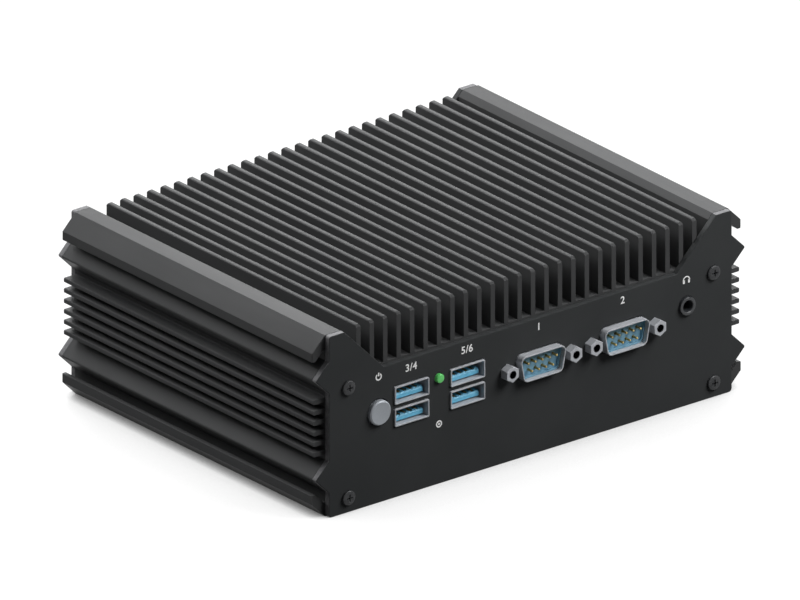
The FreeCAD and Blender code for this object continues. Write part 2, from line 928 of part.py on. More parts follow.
def video_tongue(x):
    z = board_top + video_low
    bar = rounded_box(x, z, video_tongue_width, video_tongue_thickness, 0.25)
    return slab(bar, face_y + tongue_setback - video_proud, face_y + video_floor_depth)


def network_shell(x):
    """The screened case of a network jack, open at the front round the moulded insert."""
    front = face_y - network_proud
    half = network_width / 2.0
    shape = block(x - half, x + half, front, front + network_depth, board_top, board_top + network_height)
    inside = half - network_wall
    low = board_top + network_wall
    high = board_top + network_height - network_wall
    back = front + network_depth - network_wall
    return shape.cut(block(x - inside, x + inside, front - 1.0, back, low, high))


def network_insert(x):
    """The moulded insert with the plug's mouth, the latch's step and two lamp windows."""
    front = face_y - network_proud
    half = network_width / 2.0 - network_wall - insulator_gap
    low = board_top + network_wall + insulator_gap
    high = board_top + network_height - network_wall - insulator_gap
    end = front + network_depth - network_wall - insulator_gap
    shape = block(x - half, x + half, front, end, low, high)
    mouth = network_mouth_width / 2.0
    mouth_low = board_top + network_mouth_low
    mouth_high = mouth_low + network_mouth_height
    deep = front + network_mouth_depth
    cuts = [block(x - mouth, x + mouth, front - 1.0, deep, mouth_low, mouth_high)]
    latch = network_latch_width / 2.0
    latch_low = mouth_low - network_latch_drop
    cuts.append(block(x - latch, x + latch, front - 1.0, deep, latch_low, mouth_high))
    for side in (-1.0, 1.0):
        cuts.append(lamp_box(x, side, front - 1.0, front + 2.0))
    return shape.cut(cuts)


def lamp_box(x, side, y0, y1):
    """The place of one of the two small lamps, in a lower corner of a network jack."""
    outer = network_width / 2.0 - network_lamp_inset
    inner = outer - network_lamp_width
    left = min(side * outer, side * inner)
    low = board_top + network_lamp_inset
    return block(x + left, x + left + network_lamp_width, y0, y1, low, low + network_lamp_height)


def network_lamps(x):
    front = face_y - network_proud
    return group([lamp_box(x, side, front, front + 2.0) for side in (-1.0, 1.0)])


def network_wires(x):
    """Eight sprung wires under the roof of the mouth, running back to its rear wall."""
    front = face_y - network_proud
    high = board_top + network_mouth_low + network_mouth_height
    half = network_wire_width / 2.0
    wires = []
    for i in range(network_wire_count):
        place = x + network_wire_pitch * (i - (network_wire_count - 1) / 2.0)
        wires.append(block(place - half, place + half, front + network_wire_setback,
                           front + network_mouth_depth, high - network_wire_width, high))
    return group(wires)


# ---- Inner parts ---------------------------------------------------------------------------------
def block_corners(inset):
    half_x = block_width / 2.0 - inset
    half_y = block_length / 2.0 - inset
    return [(x, processor_y + y) for x in (-half_x, half_x) for y in (-half_y, half_y)]


def block_screw_places():
    """Two screws each side, between the legs, that hold the heat block to the deck."""
    half_x = block_width / 2.0 - block_screw_inset
    half_y = block_length / 5.0
    return [(x, processor_y + y) for x in (-half_x, half_x) for y in (-half_y, half_y)]


def mainboard():
    half_x = inner_x - board_side_gap
    half_y = body_length / 2.0 - board_end_gap
    shape = block(-half_x, half_x, -half_y, half_y, board_under, board_top)
    cuts = []
    for x, y in block_corners(leg_inset):
        cuts.append(post(board_hole_radius, board_under - 1.0, board_top + 1.0, x, y))
    return shape.cut(cuts)


def processor():
    half_x = processor_width / 2.0
    half_y = processor_length / 2.0
    low = processor_y - half_y
    high = processor_y + half_y
    top = board_top + substrate_thickness
    shape = block(-half_x, half_x, low, high, board_top, top)
    lid = block(-half_x + lid_margin, half_x - lid_margin, low + lid_margin, high - lid_margin,
                top, top + lid_thickness)
    return shape.fuse(lid)


def thermal_pad():
    half_x = processor_width / 2.0 - lid_margin
    half_y = processor_length / 2.0 - lid_margin
    low = pad_top - pad_thickness
    return block(-half_x, half_x, processor_y - half_y, processor_y + half_y, low, pad_top)


def heat_block():
    """The aluminium block between processor and deck, with four legs down to the board."""
    half_x = block_width / 2.0
    half_y = block_length / 2.0
    shape = block(-half_x, half_x, processor_y - half_y, processor_y + half_y, pad_top, deck_under)
    legs = [post(leg_radius, board_top, pad_top, x, y) for x, y in block_corners(leg_inset)]
    shape = shape.fuse(legs)
    cuts = []
    for x, y in block_corners(leg_inset):
        cuts.append(post(thread_radius, board_top - 1.0, board_top + leg_screw_length + 1.0, x, y))
    for x, y in block_screw_places():
        cuts.append(post(clearance_hole_radius, pad_top - 1.0, deck_under + 1.0, x, y))
        seat = deck_under - block_screw_length + deck_thickness
        cuts.append(post(pan_head_radius + thread_gap, pad_top - 1.0, seat, x, y))
    return shape.cut(cuts).removeSplitter()


def board_screws():
    """Four screws from below that draw the board up to the heat block's legs."""
    screws = []
    for x, y in block_corners(leg_inset):
        screw = pan_screw(0.0, 0.0, 0.0, board_thickness + leg_screw_length)
        screws.append(upright(screw, x, y, board_under))
    return group(screws)


def block_screws():
    """Four screws in counterbores that hold the heat block to the deck."""
    screws = []
    for x, y in block_screw_places():
        seat = deck_under - block_screw_length + deck_thickness
        screw = pan_screw(0.0, 0.0, 0.0, block_screw_length - stop_gap)
        screws.append(upright(screw, x, y, seat))
    return group(screws)


def deck_holes():
    """Tapped holes from inside, which stop short of the deck's outer face."""
    end = fin_floor - stop_gap
    return [post(thread_radius, deck_under - 1.0, end, x, y) for x, y in block_screw_places()]


def memory_socket():
    """The socket under the board, with the slot that holds the memory module's edge."""
    half = memory_width / 2.0 + socket_margin
    low = board_under - memory_drop - memory_thickness / 2.0 - socket_floor
    edge = memory_y - memory_length / 2.0
    shape = block(memory_x - half, memory_x + half, edge - socket_depth + socket_slot_depth,
                  edge + socket_slot_depth, low, board_under)
    slot_half = memory_width / 2.0 + socket_slot_gap
    slot_low = board_under - memory_drop - memory_thickness / 2.0 - socket_slot_gap
    slot_high = slot_low + memory_thickness + 2.0 * socket_slot_gap
    return shape.cut(block(memory_x - slot_half, memory_x + slot_half, edge, edge + socket_slot_depth + 1.0,
                           slot_low, slot_high))


def memory_module():
    half = memory_width / 2.0
    middle = board_under - memory_drop
    low = middle - memory_thickness / 2.0
    high = middle + memory_thickness / 2.0
    edge = memory_y - memory_length / 2.0
    return block(memory_x - half, memory_x + half, edge, edge + memory_length, low, high)


def memory_chips():
    """Four chips on the lower face of the module."""
    face = board_under - memory_drop - memory_thickness / 2.0
    low = face - chip_thickness
    low_y = memory_y + 1.0
    chips = []
    for i in range(chip_count):
        x = memory_x + memory_width / chip_count * (i - (chip_count - 1) / 2.0)
        left = x - chip_width / 2.0
        chips.append(block(left, left + chip_width, low_y, low_y + chip_length, low, face))
    return group(chips)


def storage_ends():
    return storage_y - storage_length / 2.0, storage_y + storage_length / 2.0


def storage_socket():
    """The edge socket that holds the storage module's inner end."""
    half = storage_width / 2.0 + socket_margin
    start = storage_ends()[0]
    low = board_under - storage_drop - storage_thickness / 2.0 - socket_floor
    shape = block(storage_x - half, storage_x + half, start - socket_depth + socket_slot_depth,
                  start + socket_slot_depth, low, board_under)
    slot_half = storage_width / 2.0 + socket_slot_gap
    slot_low = board_under - storage_drop - storage_thickness / 2.0 - socket_slot_gap
    slot_high = slot_low + storage_thickness + 2.0 * socket_slot_gap
    return shape.cut(block(storage_x - slot_half, storage_x + slot_half, start,
                           start + socket_slot_depth + 1.0, slot_low, slot_high))


def storage_module():
    """The flash module: a narrow card with two packages under it, held by one screw at its end."""
    half = storage_width / 2.0
    start, end = storage_ends()
    middle = board_under - storage_drop
    low = middle - storage_thickness / 2.0
    shape = block(storage_x - half, storage_x + half, start, end, low, middle + storage_thickness / 2.0)
    wide = half - package_margin
    for step in (0.28, 0.62):
        y0 = start + storage_length * step - package_length / 2.0
        package = block(storage_x - wide, storage_x + wide, y0, y0 + package_length,
                        low - package_thickness, low)
        shape = shape.fuse(package)
    hole = post(clearance_hole_radius, low - 1.0, board_under, storage_x, end - storage_screw_inset)
    return shape.cut(hole)


def storage_post():
    """The threaded post under the board that the storage module is screwed to."""
    end = storage_ends()[1] - storage_screw_inset
    low = board_under - storage_drop + storage_thickness / 2.0
    shape = post(storage_post_radius, low, board_under, storage_x, end)
    return shape.cut(post(thread_radius, low - 1.0, board_under, storage_x, end))


def storage_screw():
    end = storage_ends()[1] - storage_screw_inset
    seat = board_under - storage_drop - storage_thickness / 2.0
    reach = board_under - seat - stop_gap
    return upright(pan_screw(0.0, 0.0, 0.0, reach), storage_x, end, seat)


def cell_holder():
    """The round holder under the board that keeps the clock's coin cell."""
    outer = cell_radius + cell_gap + holder_wall
    low = board_under - holder_floor - cell_thickness
    shape = post(outer, low, board_under, cell_x, cell_y)
    return shape.cut(post(cell_radius + cell_gap, low - 1.0, board_under - holder_floor, cell_x, cell_y))


def coin_cell():
    high = board_under - holder_floor
    return post(cell_radius, high - cell_thickness, high, cell_x, cell_y)


def capacitors():
    """A row of can capacitors beside the power inlet."""
    cans = []
    for i in range(can_count):
        cans.append(post(can_radius, board_top, board_top + can_height, can_x, can_y - can_pitch * i))
    return group(cans)


def chokes():
    """A row of moulded chokes with bevelled corners."""
    parts = []
    for i in range(choke_count):
        y = can_y - choke_pitch * i
        half = choke_size / 2.0
        top = board_top + choke_height
        cube = block(choke_x - half, choke_x + half, y - half, y + half, board_top, top)
        upright_edges = [e for e in cube.Edges if abs(e.Vertexes[0].Z - e.Vertexes[1].Z) > 1.0]
        parts.append(cube.makeChamfer(choke_bevel, upright_edges))
    return group(parts)


# ---- All the pieces ------------------------------------------------------------------------------
os.makedirs("parts", exist_ok=True)

save("chassis", chassis().cut(deck_holes()))
save("front_plate", end_plate(front_openings()))
save("rear_plate", to_rear(end_plate(rear_openings())))
save("base_cover", base_cover())
save("front_plate_screws", plate_screws())
save("rear_plate_screws", to_rear(plate_screws()))
save("cover_screws", cover_screws())
save("mounting_nuts", mounting_nuts())

for side, place in (("left", stack_x[0]), ("right", stack_x[1])):
    save("data_ports_" + side + "_shell", stack_shell(place))
    save("data_ports_" + side + "_tongues", stack_tongues(place))
    save("data_ports_" + side + "_contacts", stack_contacts(place))
save("data_ports_rear_shell", to_rear(stack_shell(rear_stack_x)))
save("data_ports_rear_tongues", to_rear(stack_tongues(rear_stack_x)))
save("data_ports_rear_contacts", to_rear(stack_contacts(rear_stack_x)))

for number, place in ((1, serial_x[0]), (2, serial_x[1])):
    save("serial_" + str(number) + "_shell", serial_shell(place))
    save("serial_" + str(number) + "_insulator", serial_insulator(place))
    save("serial_" + str(number) + "_pins", serial_pins(place))
    save("serial_" + str(number) + "_jackscrews", jackscrews(place))

save("power_button", power_button())
save("power_switch", power_switch())
save("status_lamp", status_lamp())
save("lamp_holder", lamp_holder())
save("audio_jack_sleeve", audio_sleeve())
save("audio_jack_body", audio_body())

save("power_inlet_body", to_rear(inlet_body()))
save("power_inlet_pin", to_rear(inlet_pin()))
save("power_inlet_nut", to_rear(inlet_nut()))
for number, place in ((1, video_x[0]), (2, video_x[1])):
    save("video_port_" + str(number) + "_shell", to_rear(video_shell(place)))
save("video_port_tongues", to_rear(group([video_tongue(x) for x in video_x])))
for number, place in ((1, network_x[0]), (2, network_x[1])):
    save("network_jack_" + str(number) + "_shell", to_rear(network_shell(place)))
    save("network_jack_" + str(number) + "_insert", to_rear(network_insert(place)))
save("network_jack_lamps", to_rear(group([network_lamps(x) for x in network_x])))
save("network_jack_wires", to_rear(group([network_wires(x) for x in network_x])))

save("mainboard", mainboard())
save("processor", processor())
save("thermal_pad", thermal_pad())
save("heat_block", heat_block())
save("heat_block_screws", block_screws())
save("board_screws", board_screws())
save("memory_socket", memory_socket())
save("memory_module", memory_module())
save("memory_chips", memory_chips())
save("storage_socket", storage_socket())
save("storage_module", storage_module())
save("storage_post", storage_post())
save("storage_screw", storage_screw())
save("cell_holder", cell_holder())
save("coin_cell", coin_cell())
save("capacitors", capacitors())
save("chokes", chokes())
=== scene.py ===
import math

import bmesh
import bpy
from mathutils import Matrix, Vector


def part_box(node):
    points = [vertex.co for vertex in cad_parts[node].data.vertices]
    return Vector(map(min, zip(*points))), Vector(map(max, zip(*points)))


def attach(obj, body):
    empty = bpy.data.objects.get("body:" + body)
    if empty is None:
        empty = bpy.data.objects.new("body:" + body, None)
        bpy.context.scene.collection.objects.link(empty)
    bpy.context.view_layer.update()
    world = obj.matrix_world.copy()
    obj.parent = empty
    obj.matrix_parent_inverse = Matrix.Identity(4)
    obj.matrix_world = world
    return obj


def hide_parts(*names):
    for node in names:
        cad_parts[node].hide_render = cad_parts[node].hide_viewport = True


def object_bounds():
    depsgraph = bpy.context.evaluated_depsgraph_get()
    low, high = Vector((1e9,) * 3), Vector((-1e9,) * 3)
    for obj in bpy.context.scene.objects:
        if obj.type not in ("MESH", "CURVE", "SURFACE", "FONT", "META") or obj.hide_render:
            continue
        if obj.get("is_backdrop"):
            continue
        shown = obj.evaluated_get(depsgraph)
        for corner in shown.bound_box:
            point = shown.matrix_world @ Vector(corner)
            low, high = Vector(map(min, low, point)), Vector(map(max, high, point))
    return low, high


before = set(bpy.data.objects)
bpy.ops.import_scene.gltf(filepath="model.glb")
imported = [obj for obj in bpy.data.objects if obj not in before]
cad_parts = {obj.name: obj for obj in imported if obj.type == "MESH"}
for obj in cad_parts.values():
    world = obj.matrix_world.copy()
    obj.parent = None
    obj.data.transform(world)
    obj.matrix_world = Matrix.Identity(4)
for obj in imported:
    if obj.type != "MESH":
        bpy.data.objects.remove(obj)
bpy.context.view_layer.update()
scene = bpy.context.scene
scene.view_settings.view_transform = "Standard"


# ---- View, light and ground ----
# The computer stands on a pale studio floor, seen from its front left corner and a little above.
# Two long soft boxes hang behind it, a wide weak one to its left, and a small one fills in the
# front plate from the right. The sky round them is dim, and dimmest towards the horizon.
view_azimuth = math.radians(-38.66)
view_elevation = math.radians(23.24)
view_target = Vector((-0.0006, 0.0, 0.03066))
view_width = 0.24604
view_distance = 1.2
lamp_aim = (0.0, 0.0, 0.03)
white = (1.0, 1.0, 1.0, 1.0)
sky_dim = (0.02, 0.02, 0.021)
sky_bright = (0.07, 0.07, 0.073)
floor_half = 6.0
floor_drop = 0.00004
floor_colour = (0.09, 0.09, 0.09, 1.0)
floor_glow = 0.93
shade_reach = 0.045

towards_viewer = Vector((
    math.sin(view_azimuth) * math.cos(view_elevation),
    -math.cos(view_azimuth) * math.cos(view_elevation),
    math.sin(view_elevation),
))
camera_data = bpy.data.cameras.new("studio_camera")
camera_data.type = "ORTHO"
camera_data.ortho_scale = view_width
camera_data.clip_end = 20.0
camera = bpy.data.objects.new("studio_camera", camera_data)
camera.location = view_target + towards_viewer * view_distance
camera.rotation_mode = "QUATERNION"
camera.rotation_quaternion = (-towards_viewer).to_track_quat("-Z", "Y")
scene.collection.objects.link(camera)
scene.camera = camera


def soft_box(name, place, aim, size, radiance):
    """A lamp that faces the aim; radiance is how bright its face is beside a white of 1."""
    lamp = bpy.data.lights.new(name, "AREA")
    lamp.shape = "RECTANGLE"
    lamp.size, lamp.size_y = size
    lamp.energy = radiance * math.pi * size[0] * size[1]
    box = bpy.data.objects.new(name, lamp)
    box.location = place
    box.rotation_mode = "QUATERNION"
    box.rotation_quaternion = (Vector(aim) - Vector(place)).to_track_quat("-Z", "Y")
    box.visible_camera = False
    scene.collection.objects.link(box)


soft_box("back_soft_box", (0.2, 1.3, 0.66), lamp_aim, (2.4, 0.62), 5.6)
soft_box("high_soft_box", (-0.1, 0.95, 1.15), lamp_aim, (2.0, 0.6), 10.4)
soft_box("left_soft_box", (-1.0, 0.0, 1.1), lamp_aim, (1.0, 1.0), 0.35)
soft_box("front_fill", (0.30, -0.36, 0.46), (0.04, -0.05, 0.04), (0.36, 0.28), 13.5)


def new_node(tree, kind, values=None):
    """A new shader node of this kind, with these plain values on its sockets."""
    made = tree.nodes.new("ShaderNode" + kind)
    for socket, value in (values or {}).items():
        made.inputs[socket].default_value = value
    return made


def reckon(tree, operation, first, second):
    """The sum or product of two levels, no more than 1; each is a socket or a number."""
    made = new_node(tree, "Math")
    made.operation = operation
    made.use_clamp = True
    for socket, level in zip(made.inputs, (first, second)):
        if isinstance(level, float):
            socket.default_value = level
        else:
            tree.links.new(level, socket)
    return made.outputs[0]


def seen_level(tree):
    """1 where the surface is looked at straight, in a mirror or through glass, otherwise 0."""
    rays = new_node(tree, "LightPath").outputs
    shown = reckon(tree, "ADD", rays["Is Camera Ray"], rays["Is Glossy Ray"])
    return reckon(tree, "ADD", shown, rays["Is Transmission Ray"])


def colour_run(tree, level, dark, light, low, high):
    """A colour that runs from dark, where the level is low, to light, where it is high."""
    ramp = new_node(tree, "ValToRGB")
    for i, (position, colour) in enumerate(((low, dark), (high, light))):
        ramp.color_ramp.elements[i].position = position
        ramp.color_ramp.elements[i].color = (*colour, 1.0)
    tree.links.new(level, ramp.inputs["Fac"])
    return ramp.outputs["Color"]


world = bpy.data.worlds.new("studio_sky")
world.use_nodes = True
scene.world = world
sky = world.node_tree
sky.nodes.clear()
sky_parts = new_node(sky, "SeparateXYZ")
sky.links.new(new_node(sky, "TexCoord").outputs["Generated"], sky_parts.inputs["Vector"])
sky_colour = colour_run(sky, sky_parts.outputs["Z"], sky_dim, sky_bright, 0.15, 0.9)
sky_light = new_node(sky, "Background")
sky_mix = new_node(sky, "MixShader")
sky.links.new(sky_colour, sky_light.inputs["Color"])
sky.links.new(seen_level(sky), sky_mix.inputs["Fac"])
sky.links.new(sky_light.outputs[0], sky_mix.inputs[1])
sky.links.new(new_node(sky, "Background", {"Color": white}).outputs[0], sky_mix.inputs[2])
sky.links.new(sky_mix.outputs[0], new_node(sky, "OutputWorld").inputs["Surface"])

floor_mesh = bpy.data.meshes.new("studio_floor")
bm = bmesh.new()
bmesh.ops.create_grid(bm, x_segments=1, y_segments=1, size=floor_half,
                      matrix=Matrix.Translation((0.0, 0.0, -floor_drop)))
bm.to_mesh(floor_mesh)
bm.free()
floor = bpy.data.objects.new("studio_floor", floor_mesh)
scene.collection.objects.link(floor)
floor_paper = bpy.data.materials.new("white_paper")
floor_paper.use_nodes = True
paper = floor_paper.node_tree
paper.nodes.clear()
# Ambient occlusion dims the floor's white glow close to the computer: a painted contact shadow,
# which also shows where the floor is seen in reflections.
paper_shade = new_node(paper, "AmbientOcclusion", {"Distance": shade_reach})
paper_shade.samples = 8
paper_soften = new_node(paper, "MapRange", {"From Min": 0.10, "From Max": 0.62, "To Min": 0.05})
paper.links.new(paper_shade.outputs["AO"], paper_soften.inputs[0])
paper_level = reckon(paper, "MULTIPLY", seen_level(paper), floor_glow)
paper_level = reckon(paper, "MULTIPLY", paper_level, paper_soften.outputs[0])
paper_glow = new_node(paper, "Emission", {"Color": white})
paper_face = new_node(paper, "BsdfDiffuse", {"Color": floor_colour})
paper_sum = new_node(paper, "AddShader")
paper.links.new(paper_level, paper_glow.inputs["Strength"])
paper.links.new(paper_face.outputs[0], paper_sum.inputs[0])
paper.links.new(paper_glow.outputs[0], paper_sum.inputs[1])
paper.links.new(paper_sum.outputs[0], new_node(paper, "OutputMaterial").inputs["Surface"])
floor_mesh.materials.append(floor_paper)
floor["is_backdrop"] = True


# ---- Housing ----
# The housing is one aluminium extrusion with its fins, V-shaped ribs and hooked lips, sawn to
# length and drilled, then blasted and anodised black. The die leaves faint lines along it, and
# the sawn ends of its top fins are lightly deburred.
housing_edge = 0.00014
fin_foot_z = 0.0462
end_zone = 0.001


def whole(node):
    """The solid of this node with its facets merged back into whole faces."""
    bm = bmesh.new()
    bm.from_mesh(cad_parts[node].data)
    bmesh.ops.remove_doubles(bm, verts=bm.verts, dist=1e-6)
    bmesh.ops.dissolve_limit(bm, angle_limit=math.radians(0.5), verts=bm.verts, edges=bm.edges)
    return bm


def sharp_edges(bm, degrees=60.0):
    """The edges where the surface turns by more than this angle."""
    return [e for e in bm.edges if e.is_manifold and e.calc_face_angle(0.0) > math.radians(degrees)]


def break_edges(bm, width, edges):
    """Rounds these edges as a file or a tumbler would."""
    bmesh.ops.bevel(
        bm, geom=edges, offset=width, segments=2, profile=0.5, affect="EDGES", material=-1)


def add_piece(name, bm, finish, stands_for=None, body="housing"):
    """Makes the piece from its mesh, smooth over its curves and crisp at its edges."""
    bm.normal_update()
    for face in bm.faces:
        face.smooth = True
    for edge in bm.edges:
        edge.smooth = edge.is_manifold and edge.calc_face_angle(0.0) < math.radians(22.0)
    mesh = bpy.data.meshes.new(name)
    bm.to_mesh(mesh)
    bm.free()
    mesh.materials.append(finish)
    piece = bpy.data.objects.new(name, mesh)
    scene.collection.objects.link(piece)
    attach(piece, body)
    if stands_for:
        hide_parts(stands_for)
    return piece


def new_finish(name, colour, roughness, metallic=0.0, specular=0.5):
    """A finish with its plain colour and gloss on the shader's own sockets."""
    finish = bpy.data.materials.new(name)
    finish.use_nodes = True
    sockets = finish.node_tree.nodes["Principled BSDF"].inputs
    sockets["Base Color"].default_value = (*colour, 1.0)
    sockets["Roughness"].default_value = roughness
    sockets["Metallic"].default_value = metallic
    sockets["Specular IOR Level"].default_value = specular
    return finish


def grain(tree, size, detail):
    """A noise with grains this long in metres, the same every way or along X, Y and Z."""
    lengths = (size,) * 3 if isinstance(size, float) else size
    fit = new_node(tree, "Mapping", {"Scale": [1.0 / length for length in lengths]})
    noise = new_node(tree, "TexNoise", {"Scale": 1.0, "Detail": detail})
    tree.links.new(new_node(tree, "TexCoord").outputs["Object"], fit.inputs["Vector"])
    tree.links.new(fit.outputs["Vector"], noise.inputs["Vector"])
    return noise.outputs["Fac"]


def tint(finish, size, dark, light, low=0.35, high=0.65, detail=3.0):
    """Grains of this size run the colour from dark to light."""
    tree = finish.node_tree
    colour = colour_run(tree, grain(tree, size, detail), dark, light, low, high)
    tree.links.new(colour, tree.nodes["Principled BSDF"].inputs["Base Color"])


def rub(finish, size, smooth, rough):
    """Grains of this size run the roughness from smooth to rough."""
    tree = finish.node_tree
    span = new_node(tree, "MapRange", {"From Min": 0.3, "From Max": 0.7})
    span.inputs["To Min"].default_value = smooth
    span.inputs["To Max"].default_value = rough
    tree.links.new(grain(tree, size, 3.0), span.inputs["Value"])
    tree.links.new(span.outputs["Result"], tree.nodes["Principled BSDF"].inputs["Roughness"])


def relief(finish, size, height, detail=1.0):
    """Grains of this size raise the surface by this height in metres, on any relief before them."""
    tree = finish.node_tree
    normal = tree.nodes["Principled BSDF"].inputs["Normal"]
    bump = new_node(tree, "Bump", {"Strength": 1.0, "Distance": height})
    if normal.is_linked:
        tree.links.new(normal.links[0].from_socket, bump.inputs["Normal"])
    tree.links.new(grain(tree, size, detail), bump.inputs["Height"])
    tree.links.new(bump.outputs["Normal"], normal)


black_anodised = new_finish("black_anodised_extrusion", (0.056, 0.057, 0.058), 0.36, specular=0.02)
tint(black_anodised, (0.012, 0.05, 0.012), (0.052, 0.053, 0.054), (0.060, 0.061, 0.062))
rub(black_anodised, (0.0007, 0.06, 0.0007), 0.32, 0.40)
relief(black_anodised, (0.0009, 0.08, 0.0009), 0.000006, detail=3.0)
relief(black_anodised, 0.00018, 0.000005)

bm = whole("chassis")
end_y = max(v.co.y for v in bm.verts) - end_zone
fin_ends = [e for e in sharp_edges(bm, 30.0)
            if all(abs(v.co.y) > end_y and v.co.z > fin_foot_z for v in e.verts)]
break_edges(bm, housing_edge, fin_ends)
add_piece("finned_housing", bm, black_anodised, "chassis")


# ---- End plates ----
# Two flat plates close the ends of the housing. Each is 2 mm sheet, cut to the outline of the
# extrusion and finished in a fine satin black. Round the outside its edge faces are painted
# lighter, a painted highlight where they catch the light; in the notch, which the fins shade, they
# stay black.
plate_edge = 0.00022
notch_half = 0.0732
notch_foot_z = 0.04

satin_black = new_finish("satin_black_plate", (0.041, 0.043, 0.044), 0.40, specular=0.02)
tint(satin_black, 0.02, (0.039, 0.041, 0.042), (0.043, 0.045, 0.046))
rub(satin_black, 0.008, 0.39, 0.45)
relief(satin_black, 0.00022, 0.000005)

# A lighter grey for the plates' edge faces: a painted highlight where the edges catch the light.
edge_painted_highlight = new_finish("plate_edge_painted_highlight", (0.13, 0.13, 0.135), 0.55, specular=0.06)
tint(edge_painted_highlight, (0.001, 0.0006, 0.001), (0.11, 0.11, 0.115), (0.15, 0.15, 0.155))
rub(edge_painted_highlight, (0.0005, 0.002, 0.0005), 0.48, 0.64)
relief(edge_painted_highlight, (0.00016, 0.0012, 0.00016), 0.000006)

for end in ("front", "rear"):
    bm = whole(end + "_plate")
    break_edges(bm, plate_edge, sharp_edges(bm, 30.0))
    bm.normal_update()
    for face in bm.faces:
        # Edge faces outside the notch take the painted highlight; in the notch, which the fins
        # shade, they keep the plate's black.
        place = face.calc_center_median()
        in_notch = abs(place.x) < notch_half and place.z > notch_foot_z
        face.material_index = 1 if abs(face.normal.y) < 0.8 and not in_notch else 0
    plate = add_piece(end + "_end_plate", bm, satin_black, end + "_plate")
    plate.data.materials.append(edge_painted_highlight)


# ---- Printed marks ----
# Plain marks tell the connectors apart. They are screen-printed on the front plate in white ink,
# a thin film that stands a little proud of it: numbers for the ports, and the usual signs for
# power, status lamp and sound.
mark_height = 0.0024
mark_base = 0.0409
status_mark_base = 0.0188
ink_thickness = 0.00003
stroke = 0.00047
stroke_swell = 0.00005
capital_share = 0.7
plate_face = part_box("front_plate")[0].y

white_ink = new_finish("white_screen_ink", (0.90, 0.90, 0.89), 0.55)
rub(white_ink, 0.0003, 0.48, 0.62)
relief(white_ink, 0.00012, 0.000004)


def middle(node):
    """The middle of this node's box, across the plate."""
    low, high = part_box(node)
    return (low.x + high.x) / 2.0


def face_out(bm):
    """Turns every face outwards."""
    bmesh.ops.recalc_face_normals(bm, faces=bm.faces)


def corners_in(made):
    """The vertices among what an operator has made."""
    return [v for v in made if isinstance(v, bmesh.types.BMVert)]


def put_in(bm, mesh, place):
    """Adds a copy of the mesh at this place, which is a 4x4 matrix."""
    first = len(bm.verts)
    bm.from_mesh(mesh)
    bm.verts.ensure_lookup_table()
    bmesh.ops.transform(bm, matrix=place, verts=bm.verts[first:])


def lettering(bm, number, x):
    """Adds a flat filled number to the mesh, centred on x."""
    curve = bpy.data.curves.new("lettering", "FONT")
    curve.body = number
    curve.size = mark_height / capital_share
    curve.align_x = "CENTER"
    curve.space_character = 1.08
    curve.offset = stroke_swell
    holder = bpy.data.objects.new("lettering", curve)
    scene.collection.objects.link(holder)
    bpy.context.view_layer.update()
    finished = holder.evaluated_get(bpy.context.evaluated_depsgraph_get())
    mesh = bpy.data.meshes.new_from_object(finished)
    bpy.data.objects.remove(holder)
    put_in(bm, mesh, Matrix.Translation((x, mark_base, 0.0)))


def ring(bm, x, z, radius, width, start, sweep):
    """Adds part of a flat ring about (x, z), from the start angle on, in degrees."""
    turn = Matrix.Rotation(math.radians(start), 3, "Z")
    inner, outer = (
        bm.verts.new(Vector((x, z, 0.0)) + turn @ Vector((radius + way * width / 2.0, 0.0, 0.0)))
        for way in (-1.0, 1.0))
    edge = bm.edges.new((inner, outer))
    bmesh.ops.spin(
        bm, geom=[inner, outer, edge], cent=(x, z, 0.0), axis=(0.0, 0.0, 1.0),
        angle=math.radians(sweep), steps=max(4, int(sweep / 9.0)), use_merge=sweep >= 360.0)


def bar(bm, x, z, width, height):
    """Adds a flat upright bar about (x, z)."""
    made = bmesh.ops.create_grid(bm, x_segments=1, y_segments=1, size=0.5)["verts"]
    place = Matrix.Translation((x, z, 0.0)) @ Matrix.Diagonal((width, height, 1.0, 1.0))
    bmesh.ops.transform(bm, matrix=place, verts=made)


bm = bmesh.new()
for number, node in (("3/4", "data_ports_left_shell"), ("5/6", "data_ports_right_shell"),
                     ("1", "serial_1_shell"), ("2", "serial_2_shell")):
    lettering(bm, number, middle(node))

power_x = middle("power_button")
power_z = mark_base + mark_height / 2.0
ring(bm, power_x, power_z, mark_height * 0.42, stroke, 125.0, 290.0)
bar(bm, power_x, power_z + mark_height * 0.34, stroke, mark_height * 0.50)

lamp_x = middle("status_lamp")
lamp_z = status_mark_base + mark_height / 2.0
ring(bm, lamp_x, lamp_z, mark_height * 0.40, stroke, 0.0, 360.0)
bmesh.ops.create_circle(bm, segments=20, radius=mark_height * 0.16, cap_ends=True,
                        matrix=Matrix.Translation((lamp_x, lamp_z, 0.0)))

sound_x = middle("audio_jack_sleeve")
sound_z = mark_base + mark_height * 0.42
ring(bm, sound_x, sound_z, mark_height * 0.52, stroke * 0.8, 0.0, 180.0)
for side in (-1.0, 1.0):
    bar(bm, sound_x + side * mark_height * 0.42, sound_z - mark_height * 0.16,
        mark_height * 0.30, mark_height * 0.48)

raised = bmesh.ops.extrude_face_region(bm, geom=list(bm.faces))["geom"]
bmesh.ops.translate(bm, vec=(0.0, 0.0, ink_thickness), verts=corners_in(raised))
stand_up = Matrix.Rotation(math.radians(90.0), 4, "X")
on_plate = Matrix.Translation((0.0, plate_face, 0.0)) @ stand_up
bmesh.ops.transform(bm, matrix=on_plate, verts=bm.verts)
face_out(bm)
add_piece("printed_marks", bm, white_ink)


# ---- Plate screws ----
# Four M3 pan-head screws hold each end plate to the tapped ribs of the housing. They are steel,
# zinc-plated and blackened, with a pressed cross recess in a low rounded head.
head_radius = 0.0024
head_rim = 0.0007
head_crown = 0.00032
head_mouth = head_radius - 0.001
shank_tip = 0.0003
shank_radius = 0.0012
shank_length = 0.008
cross_reach = 0.0012
cross_width = 0.00044
cross_depth = 0.0008
cross_taper = 0.55

